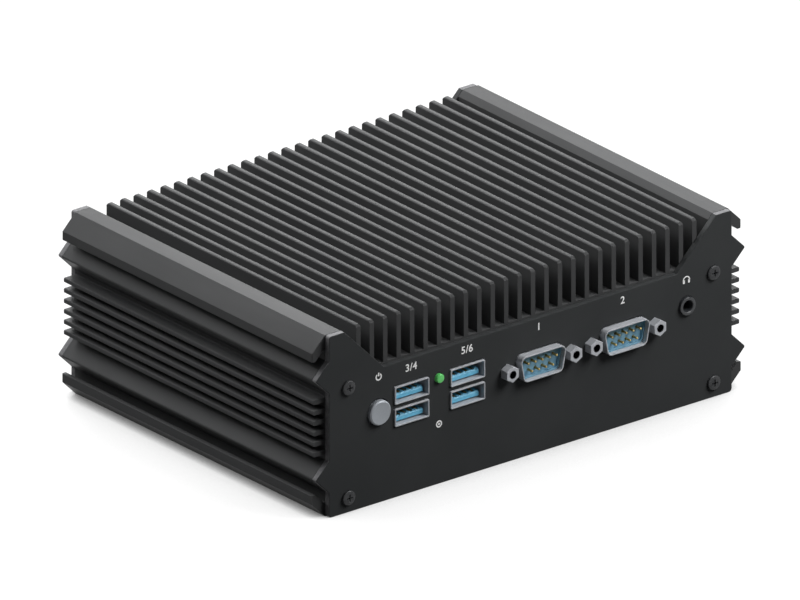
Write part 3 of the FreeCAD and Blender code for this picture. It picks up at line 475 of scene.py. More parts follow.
black_screw = new_finish("blackened_screw_steel", (0.030, 0.031, 0.033), 0.44,
                         metallic=0.35, specular=0.3)
tint(black_screw, 0.0012, (0.020, 0.021, 0.023), (0.040, 0.041, 0.043))
rub(black_screw, 0.0006, 0.38, 0.52)
relief(black_screw, 0.00015, 0.000006)


def spun(bm, profile, steps=40, axis_x=0.0, axis_y=0.0):
    """Turns a profile of (radius, z) about the upright axis, and merges it where the two meet."""
    line = [bm.verts.new((axis_x + radius, axis_y, z)) for radius, z in profile]
    edges = [bm.edges.new(pair) for pair in zip(line, line[1:])]
    bmesh.ops.spin(
        bm, geom=line + edges, cent=(axis_x, axis_y, 0.0), axis=(0.0, 0.0, 1.0),
        angle=2.0 * math.pi, steps=steps, use_merge=True)
    bmesh.ops.remove_doubles(bm, verts=bm.verts, dist=1e-7)


def pattern_of(bm):
    """Puts the mesh aside as a pattern to be copied."""
    mesh = bpy.data.meshes.new("pattern")
    bm.to_mesh(mesh)
    bm.free()
    return mesh


def loop_at(bm, radius, z):
    """The open round edge of this radius at this height."""
    return [e for e in bm.edges if e.is_boundary and all(
        abs(v.co.xy.length - radius) < 1e-6 and abs(v.co.z - z) < 1e-6 for v in e.verts)]


def cross_screw(profile, mouth, crown_z):
    """A screw along +Z: its turned head and shank, with a cross pressed inside the mouth."""
    bm = bmesh.new()
    spun(bm, profile)
    rim = loop_at(bm, mouth, crown_z)
    half = cross_width / 2.0
    corner = [(cross_reach, -half), (cross_reach, half), (half, half)]
    cross = []
    for quarter in range(4):
        turn = Matrix.Rotation(math.radians(90.0 * quarter), 2)
        cross += [turn @ Vector(place) for place in corner]
    top = [bm.verts.new((place.x, place.y, crown_z)) for place in cross]
    lip = [bm.edges.new((top[i - 1], top[i])) for i in range(len(top))]
    bmesh.ops.bridge_loops(bm, edges=rim + lip)
    sunk = bmesh.ops.extrude_edge_only(bm, edges=lip)["geom"]
    bmesh.ops.translate(bm, vec=(0.0, 0.0, -cross_depth), verts=corners_in(sunk))
    bmesh.ops.scale(bm, vec=(cross_taper, cross_taper, 1.0), verts=corners_in(sunk))
    ends = [e for e in sunk if isinstance(e, bmesh.types.BMEdge) and e.is_boundary]
    bmesh.ops.contextual_create(bm, geom=ends)
    face_out(bm)
    return pattern_of(bm)


def shank(length):
    """The profile of a screw's shank from its tip up, its end chamfered."""
    return [(0.0, -length), (shank_radius - shank_tip, -length),
            (shank_radius, -length + shank_tip)]


def rows_of(mesh, places):
    """One mesh with a copy of the pattern at each place."""
    bm = bmesh.new()
    for place in places:
        put_in(bm, mesh, place)
    return bm


crown_top = head_rim + head_crown
pan_profile = shank(shank_length) + [
    (shank_radius, 0.0), (head_radius, 0.0), (head_radius, head_rim - 0.0002),
    (head_radius - 0.00006, head_rim), (head_radius - 0.00024, head_rim + 0.00015),
    (head_radius - 0.0006, crown_top - 0.00006), (head_mouth, crown_top),
]
pan_screw = cross_screw(pan_profile, head_mouth, crown_top)

for end, out in (("front", -1.0), ("rear", 1.0)):
    low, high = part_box(end + "_plate_screws")
    face_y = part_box(end + "_plate")[0 if out < 0.0 else 1].y
    stand = Matrix.Rotation(math.radians(-90.0 * out), 4, "X")
    places = [Matrix.Translation((x, face_y, z)) @ stand
              for x in (low.x + head_radius, high.x - head_radius)
              for z in (low.z + head_radius, high.z - head_radius)]
    add_piece(end + "_pan_head_screws", rows_of(pan_screw, places), black_screw,
              end + "_plate_screws")


# ---- Base cover ----
# A flat cover of 2 mm sheet closes the base. It lies in the rebate of the housing's feet, its
# edges eased, in the same fine black as the end plates, and six countersunk screws hold it.
cover_edge = 0.0002


def eased(node, width, degrees=60.0):
    """The solid of this node with its sharp edges broken."""
    bm = whole(node)
    break_edges(bm, width, sharp_edges(bm, degrees))
    return bm


add_piece("base_cover_sheet", eased("base_cover", cover_edge), satin_black,
          "base_cover")


# ---- Cover screws ----
# Six M3 countersunk screws, black like the plate screws, sit flush in the underside of the cover
# in two rows of three, with the same pressed cross.
csk_radius = 0.0028
csk_depth = 0.0016
csk_length = 0.006
csk_mouth = csk_radius - 0.0011
csk_profile = shank(csk_length) + [
    (shank_radius, -csk_depth), (csk_radius - 0.00004, -0.0001), (csk_radius - 0.00012, 0.0),
    (csk_mouth, 0.0),
]
csk_screw = cross_screw(csk_profile, csk_mouth, 0.0)
low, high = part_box("cover_screws")
head_down = Matrix.Rotation(math.radians(180.0), 4, "X")
places = [
    Matrix.Translation((x, y, low.z)) @ head_down
    for x in (low.x + csk_radius, high.x - csk_radius)
    for y in (low.y + csk_radius, (low.y + high.y) / 2.0, high.y - csk_radius)
]
add_piece("cover_countersunk_screws", rows_of(csk_screw, places), black_screw,
          "cover_screws")


# ---- Mounting nuts ----
# Four M4 press nuts take a wall bracket. They are zinc-plated steel, pressed into the cover from
# inside with their flanges against it, and their threads show from below.
nut_shank = 0.0029
nut_flange = 0.004
nut_flange_height = 0.0024
nut_thread_crest = 0.00165
nut_thread_root = 0.002
nut_pitch = 0.0007
nut_edge = 0.00025
nut_thread_start = 0.00035
nut_thread_end = 0.0002

zinc_steel = new_finish("zinc_plated_steel", (0.42, 0.42, 0.41), 0.38, metallic=0.8)
tint(zinc_steel, 0.0016, (0.36, 0.36, 0.35), (0.48, 0.48, 0.46))
rub(zinc_steel, 0.0007, 0.30, 0.46)
relief(zinc_steel, 0.0002, 0.000004)

low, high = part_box("mounting_nuts")
step_z = high.z - nut_flange_height
nut_profile = [
    (nut_thread_root, low.z), (nut_shank - nut_edge, low.z), (nut_shank, low.z + nut_edge),
    (nut_shank, step_z), (nut_flange - nut_edge / 2.0, step_z),
    (nut_flange, step_z + nut_edge / 2.0), (nut_flange, high.z - nut_edge),
    (nut_flange - nut_edge, high.z), (nut_thread_root, high.z),
]
for turn in range(int((high.z - low.z - nut_thread_end) / nut_pitch)):
    z = high.z - nut_thread_start - nut_pitch * turn
    nut_profile += [(nut_thread_crest, z), (nut_thread_root, z - nut_pitch / 2.0)]
nut_profile.append(nut_profile[0])
bm = bmesh.new()
for x in (low.x + nut_flange, high.x - nut_flange):
    for y in (low.y + nut_flange, high.y - nut_flange):
        spun(bm, nut_profile, 36, x, y)
face_out(bm)
add_piece("mounting_press_nuts", bm, zinc_steel, "mounting_nuts")


# ---- Data ports ----
# Stacked pairs of data ports stand on the board, two pairs at the front and one at the rear. Each
# pair is a folded steel shell, nickel plated, whose two mouths come through the plate.
port_height = 0.00587
port_pitch = 0.0074
port_middle = 0.004375
port_rim = 0.00012
port_roof = 0.00045
at_face = 0.00002
spring_width = 0.0018
spring_thickness = 0.0002
spring_offset = 0.0031
board_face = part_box("mainboard")[1].z
port_pairs = ("data_ports_left", "data_ports_right", "data_ports_rear")

nickel_steel = new_finish("nickel_plated_steel", (0.425, 0.44, 0.465), 0.40,
                          metallic=0.1, specular=0.2)
tint(nickel_steel, 0.0024, (0.40, 0.415, 0.44), (0.45, 0.465, 0.49))
rub(nickel_steel, (0.0004, 0.003, 0.0004), 0.36, 0.48)
relief(nickel_steel, (0.00025, 0.0025, 0.00025), 0.000004)


def rimmed(node, width, out, degrees=40.0):
    """The solid of this node, its edges at the very front (out -1) or very back (out +1) broken."""
    bm = whole(node)
    reach = max(out * v.co.y for v in bm.verts) - at_face
    rim = [e for e in sharp_edges(bm, degrees) if all(out * v.co.y > reach for v in e.verts)]
    break_edges(bm, width, rim)
    return bm


def strip(bm, path, x, width, thickness):
    """A bent strip of this width about x, whose path is (y, z) along its middle."""
    line = [bm.verts.new((x - width / 2.0, y, z)) for y, z in path]
    edges = [bm.edges.new(pair) for pair in zip(line, line[1:])]
    wide = bmesh.ops.extrude_edge_only(bm, edges=edges)["geom"]
    bmesh.ops.translate(bm, vec=(width, 0.0, 0.0), verts=corners_in(wide))
    faces = [f for f in wide if isinstance(f, bmesh.types.BMFace)]
    bmesh.ops.solidify(bm, geom=faces, thickness=thickness)


def port_places(name):
    """The middle x of the pair, its way out along Y, and the y of its mouths."""
    low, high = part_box(name)
    out = -1.0 if low.y < 0.0 else 1.0
    return middle(name), out, low.y if out < 0.0 else high.y


for pair in port_pairs:
    node = pair + "_shell"
    x, out, mouth_y = port_places(node)
    bm = rimmed(node, port_rim, out)
    for level in (0.0, port_pitch):
        roof = board_face + port_middle + level + port_height / 2.0 - port_roof
        for way in (-1.0, 1.0):
            path = [(mouth_y - out * y, roof + z) for y, z in (
                (0.0011, 0.0001), (0.0018, -0.0001), (0.0034, -0.00055), (0.0042, -0.00062),
                (0.005, -0.00045), (0.0074, 0.0001))]
            strip(bm, path, x + way * spring_offset, spring_width, spring_thickness)
    face_out(bm)
    add_piece(pair + "_case", bm, nickel_steel, node)


# ---- Data port tongues ----
# Each mouth has a blue nylon tongue that carries the plug's contacts in four slots along its upper
# side. The tongues are moulded, with a chamfer that guides the plug on.
tongue_width = 0.0111
tongue_thickness = 0.00194
tongue_chamfer = 0.00055
tongue_under_chamfer = 0.00022
tongue_corner = 0.00018
slot_width = 0.0012
slot_depth = 0.00024
slot_pitch = 0.0023

blue_nylon = new_finish("blue_moulded_nylon", (0.15, 0.50, 0.72), 0.40, specular=0.35)
tint(blue_nylon, 0.0016, (0.135, 0.47, 0.69), (0.165, 0.53, 0.75))
rub(blue_nylon, 0.0005, 0.34, 0.46)
relief(blue_nylon, 0.0001, 0.000004)


def slotted_tongue(bm, x, z, y0, y1, out):
    """One tongue about (x, z) from y0 at its tip back to y1, with open slots along its top."""
    left, right = x - tongue_width / 2.0, x + tongue_width / 2.0
    top, under = z + tongue_thickness / 2.0, z - tongue_thickness / 2.0
    outline = [(left, under), (left, top)]
    for i in range(4):
        start = x + slot_pitch * (i - 1.5) - slot_width / 2.0
        stop = start + slot_width
        outline += [(start, top), (start, top - slot_depth), (stop, top - slot_depth), (stop, top)]
    outline += [(right, top), (right, under)]
    piece = bmesh.new()
    tip = piece.faces.new([piece.verts.new((px, y0, pz)) for px, pz in outline])
    back = bmesh.ops.extrude_face_region(piece, geom=[tip])["geom"]
    bmesh.ops.translate(piece, vec=(0.0, y1 - y0, 0.0), verts=corners_in(back))
    face_out(piece)
    for level, chamfer, way in ((top, tongue_chamfer, 1.0), (under, tongue_under_chamfer, -1.0)):
        bmesh.ops.bisect_plane(
            piece, geom=piece.verts[:] + piece.edges[:] + piece.faces[:], clear_outer=True,
            plane_co=(x, y0 - out * chamfer, level), plane_no=(0.0, out, way))
        bmesh.ops.holes_fill(piece, edges=[e for e in piece.edges if e.is_boundary])
    sides = [e for e in sharp_edges(piece, 70.0)
             if all(abs(abs(v.co.x - x) - tongue_width / 2.0) < 1e-6 for v in e.verts)]
    break_edges(piece, tongue_corner, sides)
    face_out(piece)
    bm.from_mesh(pattern_of(piece))


for pair in port_pairs:
    node = pair + "_tongues"
    low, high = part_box(node)
    x, out, tip_y = port_places(node)
    back_y = high.y if out < 0.0 else low.y
    bm = bmesh.new()
    for level in (0.0, port_pitch):
        slotted_tongue(bm, x, low.z + tongue_thickness / 2.0 + level, tip_y, back_y, out)
    add_piece(pair + "_slotted_tongues", bm, blue_nylon, node)


# ---- Data port contacts ----
# Four flat contacts lie in the slots of each tongue. They are stamped from bronze strip and gold
# flashed, and their tips are bent down into the nylon.
contact_width = 0.001
contact_thickness = 0.00012

gold_flash = new_finish("gold_flashed_bronze", (0.40, 0.30, 0.11), 0.36, metallic=0.7)
tint(gold_flash, 0.0008, (0.34, 0.25, 0.09), (0.46, 0.35, 0.13))
rub(gold_flash, (0.0003, 0.0012, 0.0003), 0.24, 0.40)
relief(gold_flash, (0.00008, 0.0008, 0.00008), 0.000003)

for pair in port_pairs:
    tongues = pair + "_tongues"
    x, out, tip_y = port_places(tongues)
    low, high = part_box(tongues)
    bm = bmesh.new()
    for level in (0.0, port_pitch):
        top = low.z + tongue_thickness + level
        for i in range(4):
            path = [(tip_y - out * y, top + z) for y, z in (
                (0.00056, -0.0005), (0.00066, -0.00034), (0.00085, -0.00022), (0.0013, -0.00012),
                (0.007, -0.00012), (0.0078, -0.0003))]
            strip(bm, path, x + slot_pitch * (i - 1.5), contact_width, contact_thickness)
    face_out(bm)
    add_piece(pair + "_sprung_contacts", bm, gold_flash, pair + "_contacts")


# ---- Serial ports ----
# Two nine-pin plugs for serial leads. The drawn steel shell has a rolled rim and stands out of
# the plate, with its flange behind; the light blue insert inside it is moulded polyester.
d_top = 0.0183
d_bottom = 0.01525
d_height = 0.0087
d_corner = 0.002
d_wall = 0.00045
d_rim = 0.00016
collar_wall = 0.0005
collar_depth = 0.0011
collar_gap = 0.00006
collar_root = 0.0002
collar_corner_share = 0.95
serial_middle = 0.0079
serial_ports = ("serial_1", "serial_2")

serial_polyester = new_finish("light_blue_polyester", (0.17, 0.34, 0.46), 0.46, specular=0.3)
tint(serial_polyester, 0.002, (0.16, 0.32, 0.44), (0.18, 0.36, 0.48))
rub(serial_polyester, 0.0005, 0.40, 0.54)
relief(serial_polyester, 0.00014, 0.000005)

d_middle_z = board_face + serial_middle
for port in serial_ports:
    node = port + "_shell"
    add_piece(port + "_drawn_shell", rimmed(node, d_rim, -1.0), nickel_steel,
              node)

    node = port + "_insulator"
    x = middle(port + "_shell")
    insert_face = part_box(node)[0].y
    bm = whole(node)
    inset = d_wall + collar_gap
    collar = bmesh.new()
    corners = [(x - d_bottom / 2.0 + inset, -1.0), (x + d_bottom / 2.0 - inset, -1.0),
               (x + d_top / 2.0 - inset, 1.0), (x - d_top / 2.0 + inset, 1.0)]
    half = d_height / 2.0 - inset
    collar.faces.new([
        collar.verts.new((px, insert_face + collar_root, d_middle_z + way * half))
        for px, way in corners])
    bmesh.ops.bevel(
        collar, geom=list(collar.verts), offset=(d_corner - inset) * collar_corner_share,
        segments=6, profile=0.5, affect="VERTICES", clamp_overlap=True, material=-1)
    bmesh.ops.inset_region(
        collar, faces=list(collar.faces), thickness=collar_wall, use_boundary=True,
        use_even_offset=True)
    inner = max(collar.faces, key=lambda f: f.calc_area())
    bmesh.ops.delete(collar, geom=[inner], context="FACES")
    front = bmesh.ops.extrude_face_region(collar, geom=list(collar.faces))["geom"]
    bmesh.ops.translate(collar, vec=(0.0, -collar_depth, 0.0), verts=corners_in(front))
    face_out(collar)
    bm.from_mesh(pattern_of(collar))
    add_piece(port + "_moulded_insert", bm, serial_polyester, node)


# ---- Serial pins ----
# Nine pins stand in each serial port, five over four. They are turned brass with a gold flash,
# rounded at the tip and pressed into the insert.
pin_radius = 0.0004
pin_pitch = 0.00277
pin_row = 0.00142
pin_length = 0.0052


def pin_line(radius, length, tip):
    """A turned pin's profile; its tip is a row of (share of the radius, distance from the end)."""
    line = [(radius * share, length - back) for share, back in tip]
    return [(0.0, 0.0), (radius, 0.0)] + line + [(0.0, length)]


pin_tip = ((1.0, 0.00062), (0.93, 0.0004), (0.74, 0.00018), (0.42, 0.00004))
bm = bmesh.new()
spun(bm, pin_line(pin_radius, pin_length, pin_tip), 16)
face_out(bm)
pin_pattern = pattern_of(bm)
for port in serial_ports:
    node = port + "_pins"
    x = middle(node)
    seat_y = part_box(node)[1].y
    places = [
        Matrix.Translation((x + pin_pitch * (i - half), seat_y, d_middle_z + rise)) @ stand_up
        for count, half, rise in ((5, 2.0, pin_row), (4, 1.5, -pin_row)) for i in range(count)
    ]
    add_piece(port + "_turned_pins", rows_of(pin_pattern, places), gold_flash, node)


# ---- Screw locks ----
# A hexagonal lock stands each side of a serial port and holds it to the plate. It is turned from
# hexagon steel bar and nickel plated, and its tapped hole takes the lead's thumbscrew.
lock_half = 0.00235
lock_height = 0.003
lock_edge = 0.00014
lock_shank = 0.0014
lock_shank_length = 0.0065
lock_mouth = 0.00132
lock_root = 0.001
lock_crest = 0.0009
lock_pitch = 0.00064
lock_depth = 0.0046
lock_chamfer = 0.00035
lock_tip = 0.0002


def hexagon_head(bm, flat_half, z0, z1, edge):
    """The walls of a hexagonal head from z0 to z1, its front edges broken; gives both end loops."""
    corner = flat_half / math.cos(math.radians(30.0))
    foot = bmesh.ops.create_circle(
        bm, segments=6, radius=corner, matrix=Matrix.Translation((0.0, 0.0, z0)))["verts"]
    low_loop = list({e for v in foot for e in v.link_edges})
    loop = low_loop
    for rise, shrink in ((z1 - edge - z0, 1.0), (edge, (corner - edge) / corner)):
        made = bmesh.ops.extrude_edge_only(bm, edges=loop)["geom"]
        verts = corners_in(made)
        bmesh.ops.translate(bm, vec=(0.0, 0.0, rise), verts=verts)
        bmesh.ops.scale(bm, vec=(shrink, shrink, 1.0), verts=verts)
        made_edges = [e for e in made if isinstance(e, bmesh.types.BMEdge)]
        loop = [e for e in made_edges if all(v in verts for v in e.verts)]
    return low_loop, loop


bm = bmesh.new()
foot_loop, front_loop = hexagon_head(bm, lock_half, 0.0, lock_height, lock_edge)
bore = [(lock_mouth, lock_height), (lock_root, lock_height - lock_chamfer)]
for turn in range(int(lock_depth / lock_pitch)):
    z = lock_height - 2.0 * lock_chamfer - lock_pitch * turn
    bore += [(lock_crest, z), (lock_root, z - lock_pitch / 2.0)]
bore.append((0.0, lock_height - 0.0006 - lock_depth))
spun(bm, bore, 24)
spun(bm, [(lock_shank, 0.0), (lock_shank, -lock_shank_length + lock_tip),
          (lock_shank - lock_tip, -lock_shank_length), (0.0, -lock_shank_length)], 24)
bmesh.ops.bridge_loops(bm, edges=front_loop + loop_at(bm, lock_mouth, lock_height))
bmesh.ops.bridge_loops(bm, edges=foot_loop + loop_at(bm, lock_shank, 0.0))
face_out(bm)
lock_pattern = pattern_of(bm)
for port in serial_ports:
    node = port + "_jackscrews"
    low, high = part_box(node)
    places = [Matrix.Translation((x, plate_face, d_middle_z)) @ stand_up
              for x in (low.x + lock_half, high.x - lock_half)]
    add_piece(port + "_screw_locks", rows_of(lock_pattern, places), nickel_steel,
              node)


# ---- Power button ----
# A round push-button turned from aluminium, bead blasted and clear anodised. Its cap has a bright
# turned chamfer and a faint dish, a flange keeps it in the plate, and its stem works the switch.
button_radius = 0.0041
button_chamfer = 0.0004
button_flange_radius = 0.0049
button_flange = 0.0009
button_stem = 0.0015
button_gap = 0.0001

silver_anodised = new_finish("clear_anodised_aluminium", (0.30, 0.32, 0.345), 0.48,
                             metallic=0.25, specular=0.3)
tint(silver_anodised, 0.0005, (0.293, 0.313, 0.338), (0.307, 0.327, 0.352))
rub(silver_anodised, 0.0003, 0.46, 0.54)
relief(silver_anodised, 0.00012, 0.000002)

low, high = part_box("power_button")
plate_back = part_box("front_plate")[1].y
cap_top = plate_back + button_gap - low.y
flange_back = cap_top + button_flange
stem_end = high.y - low.y
cap_edge = button_radius - button_chamfer
button_profile = [
    (0.0, 0.00016), (0.0012, 0.00014), (0.0024, 0.00008), (cap_edge - 0.0002, 0.00002),
    (cap_edge - 0.00006, 0.0), (cap_edge + 0.00004, 0.00006),
    (button_radius - 0.00006, button_chamfer - 0.00004), (button_radius, button_chamfer + 0.00008),
    (button_radius, cap_top), (button_flange_radius, cap_top),
    (button_flange_radius, flange_back - 0.0001), (button_flange_radius - 0.0001, flange_back),
    (button_stem, flange_back), (button_stem, stem_end - 0.0002), (button_stem - 0.0002, stem_end),
    (0.0, stem_end),
]


def turned(profile, steps, x, y, z):
    """A piece turned about an axis that runs along +Y from (x, y, z)."""
    bm = bmesh.new()
    spun(bm, profile, steps)
    lie_back = Matrix.Rotation(math.radians(-90.0), 4, "X")
    bmesh.ops.transform(bm, matrix=Matrix.Translation((x, y, z)) @ lie_back, verts=bm.verts)
    face_out(bm)
    return bm


bm = turned(button_profile, 64, middle("power_button"), low.y, (low.z + high.z) / 2.0)
add_piece("power_button_cap", bm, silver_anodised, "power_button",
          body="power_button")


# ---- Power switch ----
# The button works a sealed tact switch, a black moulded block that stands on the board behind it,
# with a bore for the stem. The mould leaves its edges soft and its faces finely sparked.
switch_edge = 0.0004

black_moulding = new_finish("black_moulded_plastic", (0.022, 0.023, 0.024), 0.52, specular=0.35)
tint(black_moulding, 0.002, (0.019, 0.020, 0.021), (0.026, 0.027, 0.028))
rub(black_moulding, 0.0006, 0.44, 0.60)
relief(black_moulding, 0.00015, 0.000006)

add_piece("sealed_tact_switch", eased("power_switch", switch_edge), black_moulding,
          "power_switch")


# ---- Status lamp ----
# A green status lamp 3 mm across. It is cast in diffused epoxy with a flat front and a rounded
# edge, has a rim behind the plate, and stands in a black holder on the board.
lamp_edge = 0.00035
lamp_rim = 0.00035
lamp_rim_thickness = 0.0008
lamp_gap = 0.00015
holder_edge = 0.0003

green_epoxy = new_finish("green_diffused_epoxy", (0.115, 0.54, 0.14), 0.36, specular=0.4)
tint(green_epoxy, 0.001, (0.10, 0.51, 0.125), (0.13, 0.57, 0.155))
rub(green_epoxy, 0.0003, 0.30, 0.42)
relief(green_epoxy, 0.0002, 0.000003)
green_shader = green_epoxy.node_tree.nodes["Principled BSDF"]
green_shader.inputs["Emission Color"].default_value = (0.10, 0.60, 0.12, 1.0)
green_shader.inputs["Emission Strength"].default_value = 0.08

low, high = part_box("status_lamp")
lamp_outer = (high.x - low.x) / 2.0
lamp_radius = lamp_outer - lamp_rim
lamp_length = high.y - low.y
rim_start = plate_back + lamp_gap - low.y


def rounded(radius, width):
    """A quarter round of this width on a turned piece, from its face out to its side."""
    bends = [math.radians(22.5 * step) for step in range(5)]
    return [(radius - width + width * math.sin(bend), width * (1.0 - math.cos(bend)))
            for bend in bends]


lamp_profile = [(0.0, 0.0)] + rounded(lamp_radius, lamp_edge) + [
    (lamp_radius, rim_start), (lamp_outer, rim_start), (lamp_outer, rim_start + lamp_rim_thickness),
    (lamp_radius, rim_start + lamp_rim_thickness), (lamp_radius, lamp_length), (0.0, lamp_length),
]
bm = turned(lamp_profile, 40, middle("status_lamp"), low.y, (low.z + high.z) / 2.0)
add_piece("status_lamp_lens", bm, green_epoxy, "status_lamp")

add_piece("status_lamp_holder", eased("lamp_holder", holder_edge), black_moulding,
          "lamp_holder")


# ---- Audio jack ----
# The sleeve of the 3.5 mm audio jack stands a little out of the plate. It is turned black acetal
# with a rounded lip, held by a block on the board, and sprung contacts show in its bore.
sleeve_lip = 0.00028
sleeve_bore = 0.00185
sleeve_mouth = 0.0021

black_acetal = new_finish("black_turned_acetal", (0.024, 0.026, 0.029), 0.36, specular=0.4)
tint(black_acetal, (0.003, 0.0003, 0.003), (0.021, 0.023, 0.026), (0.028, 0.030, 0.033))
rub(black_acetal, (0.003, 0.00012, 0.003), 0.31, 0.42)
relief(black_acetal, (0.004, 0.00014, 0.004), 0.000004)

low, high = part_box("audio_jack_sleeve")
sleeve_radius = (high.x - low.x) / 2.0
sleeve_length = high.y - low.y
sleeve_z = (low.z + high.z) / 2.0
sleeve_profile = [
    (sleeve_bore, sleeve_length), (sleeve_bore, 0.0004), (sleeve_bore + 0.00008, 0.00018),
    (sleeve_mouth, 0.0),
] + rounded(sleeve_radius, sleeve_lip) + [
    (sleeve_radius, sleeve_length), (sleeve_bore, sleeve_length),
]
sound_axis = middle("audio_jack_sleeve")
bm = turned(sleeve_profile, 56, sound_axis, low.y, sleeve_z)
add_piece("audio_jack_turned_sleeve", bm, black_acetal, "audio_jack_sleeve")

bm = bmesh.new()
for top, way in ((sleeve_z + sleeve_bore, -1.0), (sleeve_z - sleeve_bore, 1.0)):
    path = [(low.y + y, top + way * z) for y, z in (
        (0.0044, -0.0001), (0.0054, 0.00025), (0.0064, 0.00046), (0.0072, 0.0003),
        (0.0085, -0.0001))]
    strip(bm, path, sound_axis, contact_width, contact_thickness)
face_out(bm)
add_piece("audio_jack_springs", bm, gold_flash)

add_piece("audio_jack_block", eased("audio_jack_body", holder_edge), black_moulding,
          "audio_jack_body")


# ---- Power inlet ----
# The power inlet is a threaded black barrel through the rear plate with a gold pin in its bore.
# A zinc-plated hexagon nut draws it to the plate, and a moulded block carries it on the board.
inlet_barrel = 0.0046
thread_core = inlet_barrel - 0.0003
inlet_root = inlet_barrel - 0.00002
inlet_crest = inlet_barrel + 0.00018
inlet_pitch = 0.0005
inlet_pin_radius = 0.00125
nut_bevel = 0.00035
nut_corner = 0.0055
barrel_edge = 0.0003
block_gap = 0.0019

barrel_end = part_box("power_inlet_body")[1].y
inlet_x = middle("power_inlet_nut")
nut_low, nut_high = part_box("power_inlet_nut")
inlet_z = (nut_low.z + nut_high.z) / 2.0
bm = rimmed("power_inlet_body", barrel_edge, 1.0, 60.0)
block_edges = [e for e in sharp_edges(bm) if all(v.co.y < nut_low.y - block_gap for v in e.verts)]
break_edges(bm, holder_edge, block_edges)
add_piece("power_inlet_barrel", bm, black_moulding, "power_inlet_body")

thread_profile = [(thread_core, 0.0)]
count = int((barrel_end - nut_high.y - 0.0005) / inlet_pitch)
for turn in range(count):
    z = inlet_pitch * (turn + 0.5)
    thread_profile += [(inlet_root, z - inlet_pitch * 0.45), (inlet_crest, z)]
thread_profile += [(thread_core, inlet_pitch * (count + 0.2)), (thread_core, 0.0)]
bm = turned(thread_profile, 48, inlet_x, nut_high.y, inlet_z)
add_piece("power_inlet_thread", bm, black_moulding)

pin_low, pin_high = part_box("power_inlet_pin")
inlet_pin_tip = ((1.0, 0.0009), (0.94, 0.0006), (0.76, 0.00025), (0.45, 0.00005))
inlet_pin_line = pin_line(inlet_pin_radius, pin_high.y - pin_low.y, inlet_pin_tip)
bm = turned(inlet_pin_line, 28, inlet_x, pin_low.y, inlet_z)
add_piece("power_inlet_centre_pin", bm, gold_flash, "power_inlet_pin")

bm = whole("power_inlet_nut")
hexagon_edges = [
    e for e in sharp_edges(bm, 40.0)
    if all(math.hypot(v.co.x - inlet_x, v.co.z - inlet_z) > nut_corner for v in e.verts)
]
break_edges(bm, nut_bevel, hexagon_edges)
add_piece("power_inlet_hexagon_nut", bm, zinc_steel, "power_inlet_nut")


# ---- Video ports ----
# Two video ports at the rear, each a nickel-plated shell with its two lower corners cut off and a
# black tongue inside, whose contacts lie along both faces.
video_contact_pitch = 0.001
video_contact_width = 0.00055
video_contact_count = 10
video_contact_thickness = 0.00008
video_tip_edge = 0.0002
video_ports = ("video_port_1", "video_port_2")

for port in video_ports:
    node = port + "_shell"
    add_piece(port + "_case", rimmed(node, port_rim, 1.0), nickel_steel, node)

low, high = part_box("video_port_tongues")
tongues = rimmed("video_port_tongues", video_tip_edge, 1.0, 50.0)
add_piece("video_port_moulded_tongues", tongues, black_moulding,
          "video_port_tongues")

bm = bmesh.new()
for port in video_ports:
    x = middle(port + "_shell")
    for i in range(video_contact_count):
        contact_x = x + video_contact_pitch * (i - (video_contact_count - 1) / 2.0)
        for face_z, way in ((high.z, 1.0), (low.z, -1.0)):
            path = [(high.y - y, face_z + way * z) for y, z in (
                (0.0006, -0.0001), (0.0009, 0.00002), (0.006, 0.00002), (0.0064, -0.0001))]
            strip(bm, path, contact_x, video_contact_width, video_contact_thickness)
face_out(bm)
add_piece("video_port_contacts", bm, gold_flash)


# ---- Network jacks ----
# Two network jacks at the rear. A folded steel case screens each one, a black insert has the
# plug's mouth with its latch step, and two small lamps show in its lower corners.
case_edge = 0.00012
insert_edge = 0.0002
lamp_break = 0.0002
wire_edge = 0.0001

amber_epoxy = new_finish("amber_diffused_epoxy", (0.50, 0.30, 0.06), 0.34, specular=0.45)
tint(amber_epoxy, 0.001, (0.45, 0.26, 0.05), (0.56, 0.34, 0.075))
rub(amber_epoxy, 0.0003, 0.28, 0.42)
relief(amber_epoxy, 0.0002, 0.000003)

for jack in ("network_jack_1", "network_jack_2"):
    add_piece(jack + "_case", rimmed(jack + "_shell", case_edge, 1.0), nickel_steel,
              jack + "_shell")
    add_piece(jack + "_moulded_insert", rimmed(jack + "_insert", insert_edge, 1.0),
              black_moulding, jack + "_insert")

add_piece("network_jack_lamp_lenses", rimmed("network_jack_lamps", lamp_break, 1.0), amber_epoxy,
          "network_jack_lamps")

add_piece("network_jack_sprung_wires", eased("network_jack_wires", wire_edge, 30.0), gold_flash,
          "network_jack_wires")


# ---- Main board ----
# The main board slides in guides inside the housing. It is glass-epoxy laminate under green
# solder resist, whose copper tracks show through as faint lighter bands.

def dress(finish, *names):
    """Gives the finish to nodes whose shape is already right."""
    for name in names:
        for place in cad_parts[name].material_slots:
            place.material = finish


green_resist = new_finish("green_solder_resist", (0.02, 0.14, 0.06), 0.34)
tint(green_resist, (0.0007, 0.012, 0.0007), (0.014, 0.10, 0.045), (0.030, 0.18, 0.080), 0.46, 0.54,
     detail=1.0)
rub(green_resist, 0.0012, 0.28, 0.42)
relief(green_resist, (0.0007, 0.012, 0.0007), 0.00003)
relief(green_resist, 0.0004, 0.000006, detail=3.0)
dress(green_resist, "mainboard")


# ---- Processor and heat path ----
# The processor stands on the board under a soft silicone pad, and a milled aluminium block
# carries its heat to the deck of the housing. Screws hold the block and draw the board up to it.
package_black = new_finish("black_chip_package", (0.025, 0.025, 0.028), 0.5, specular=0.4)
tint(package_black, 0.0008, (0.020, 0.020, 0.023), (0.031, 0.031, 0.034))
rub(package_black, 0.0004, 0.42, 0.6)
relief(package_black, 0.0001, 0.000005)
dress(package_black, "processor")

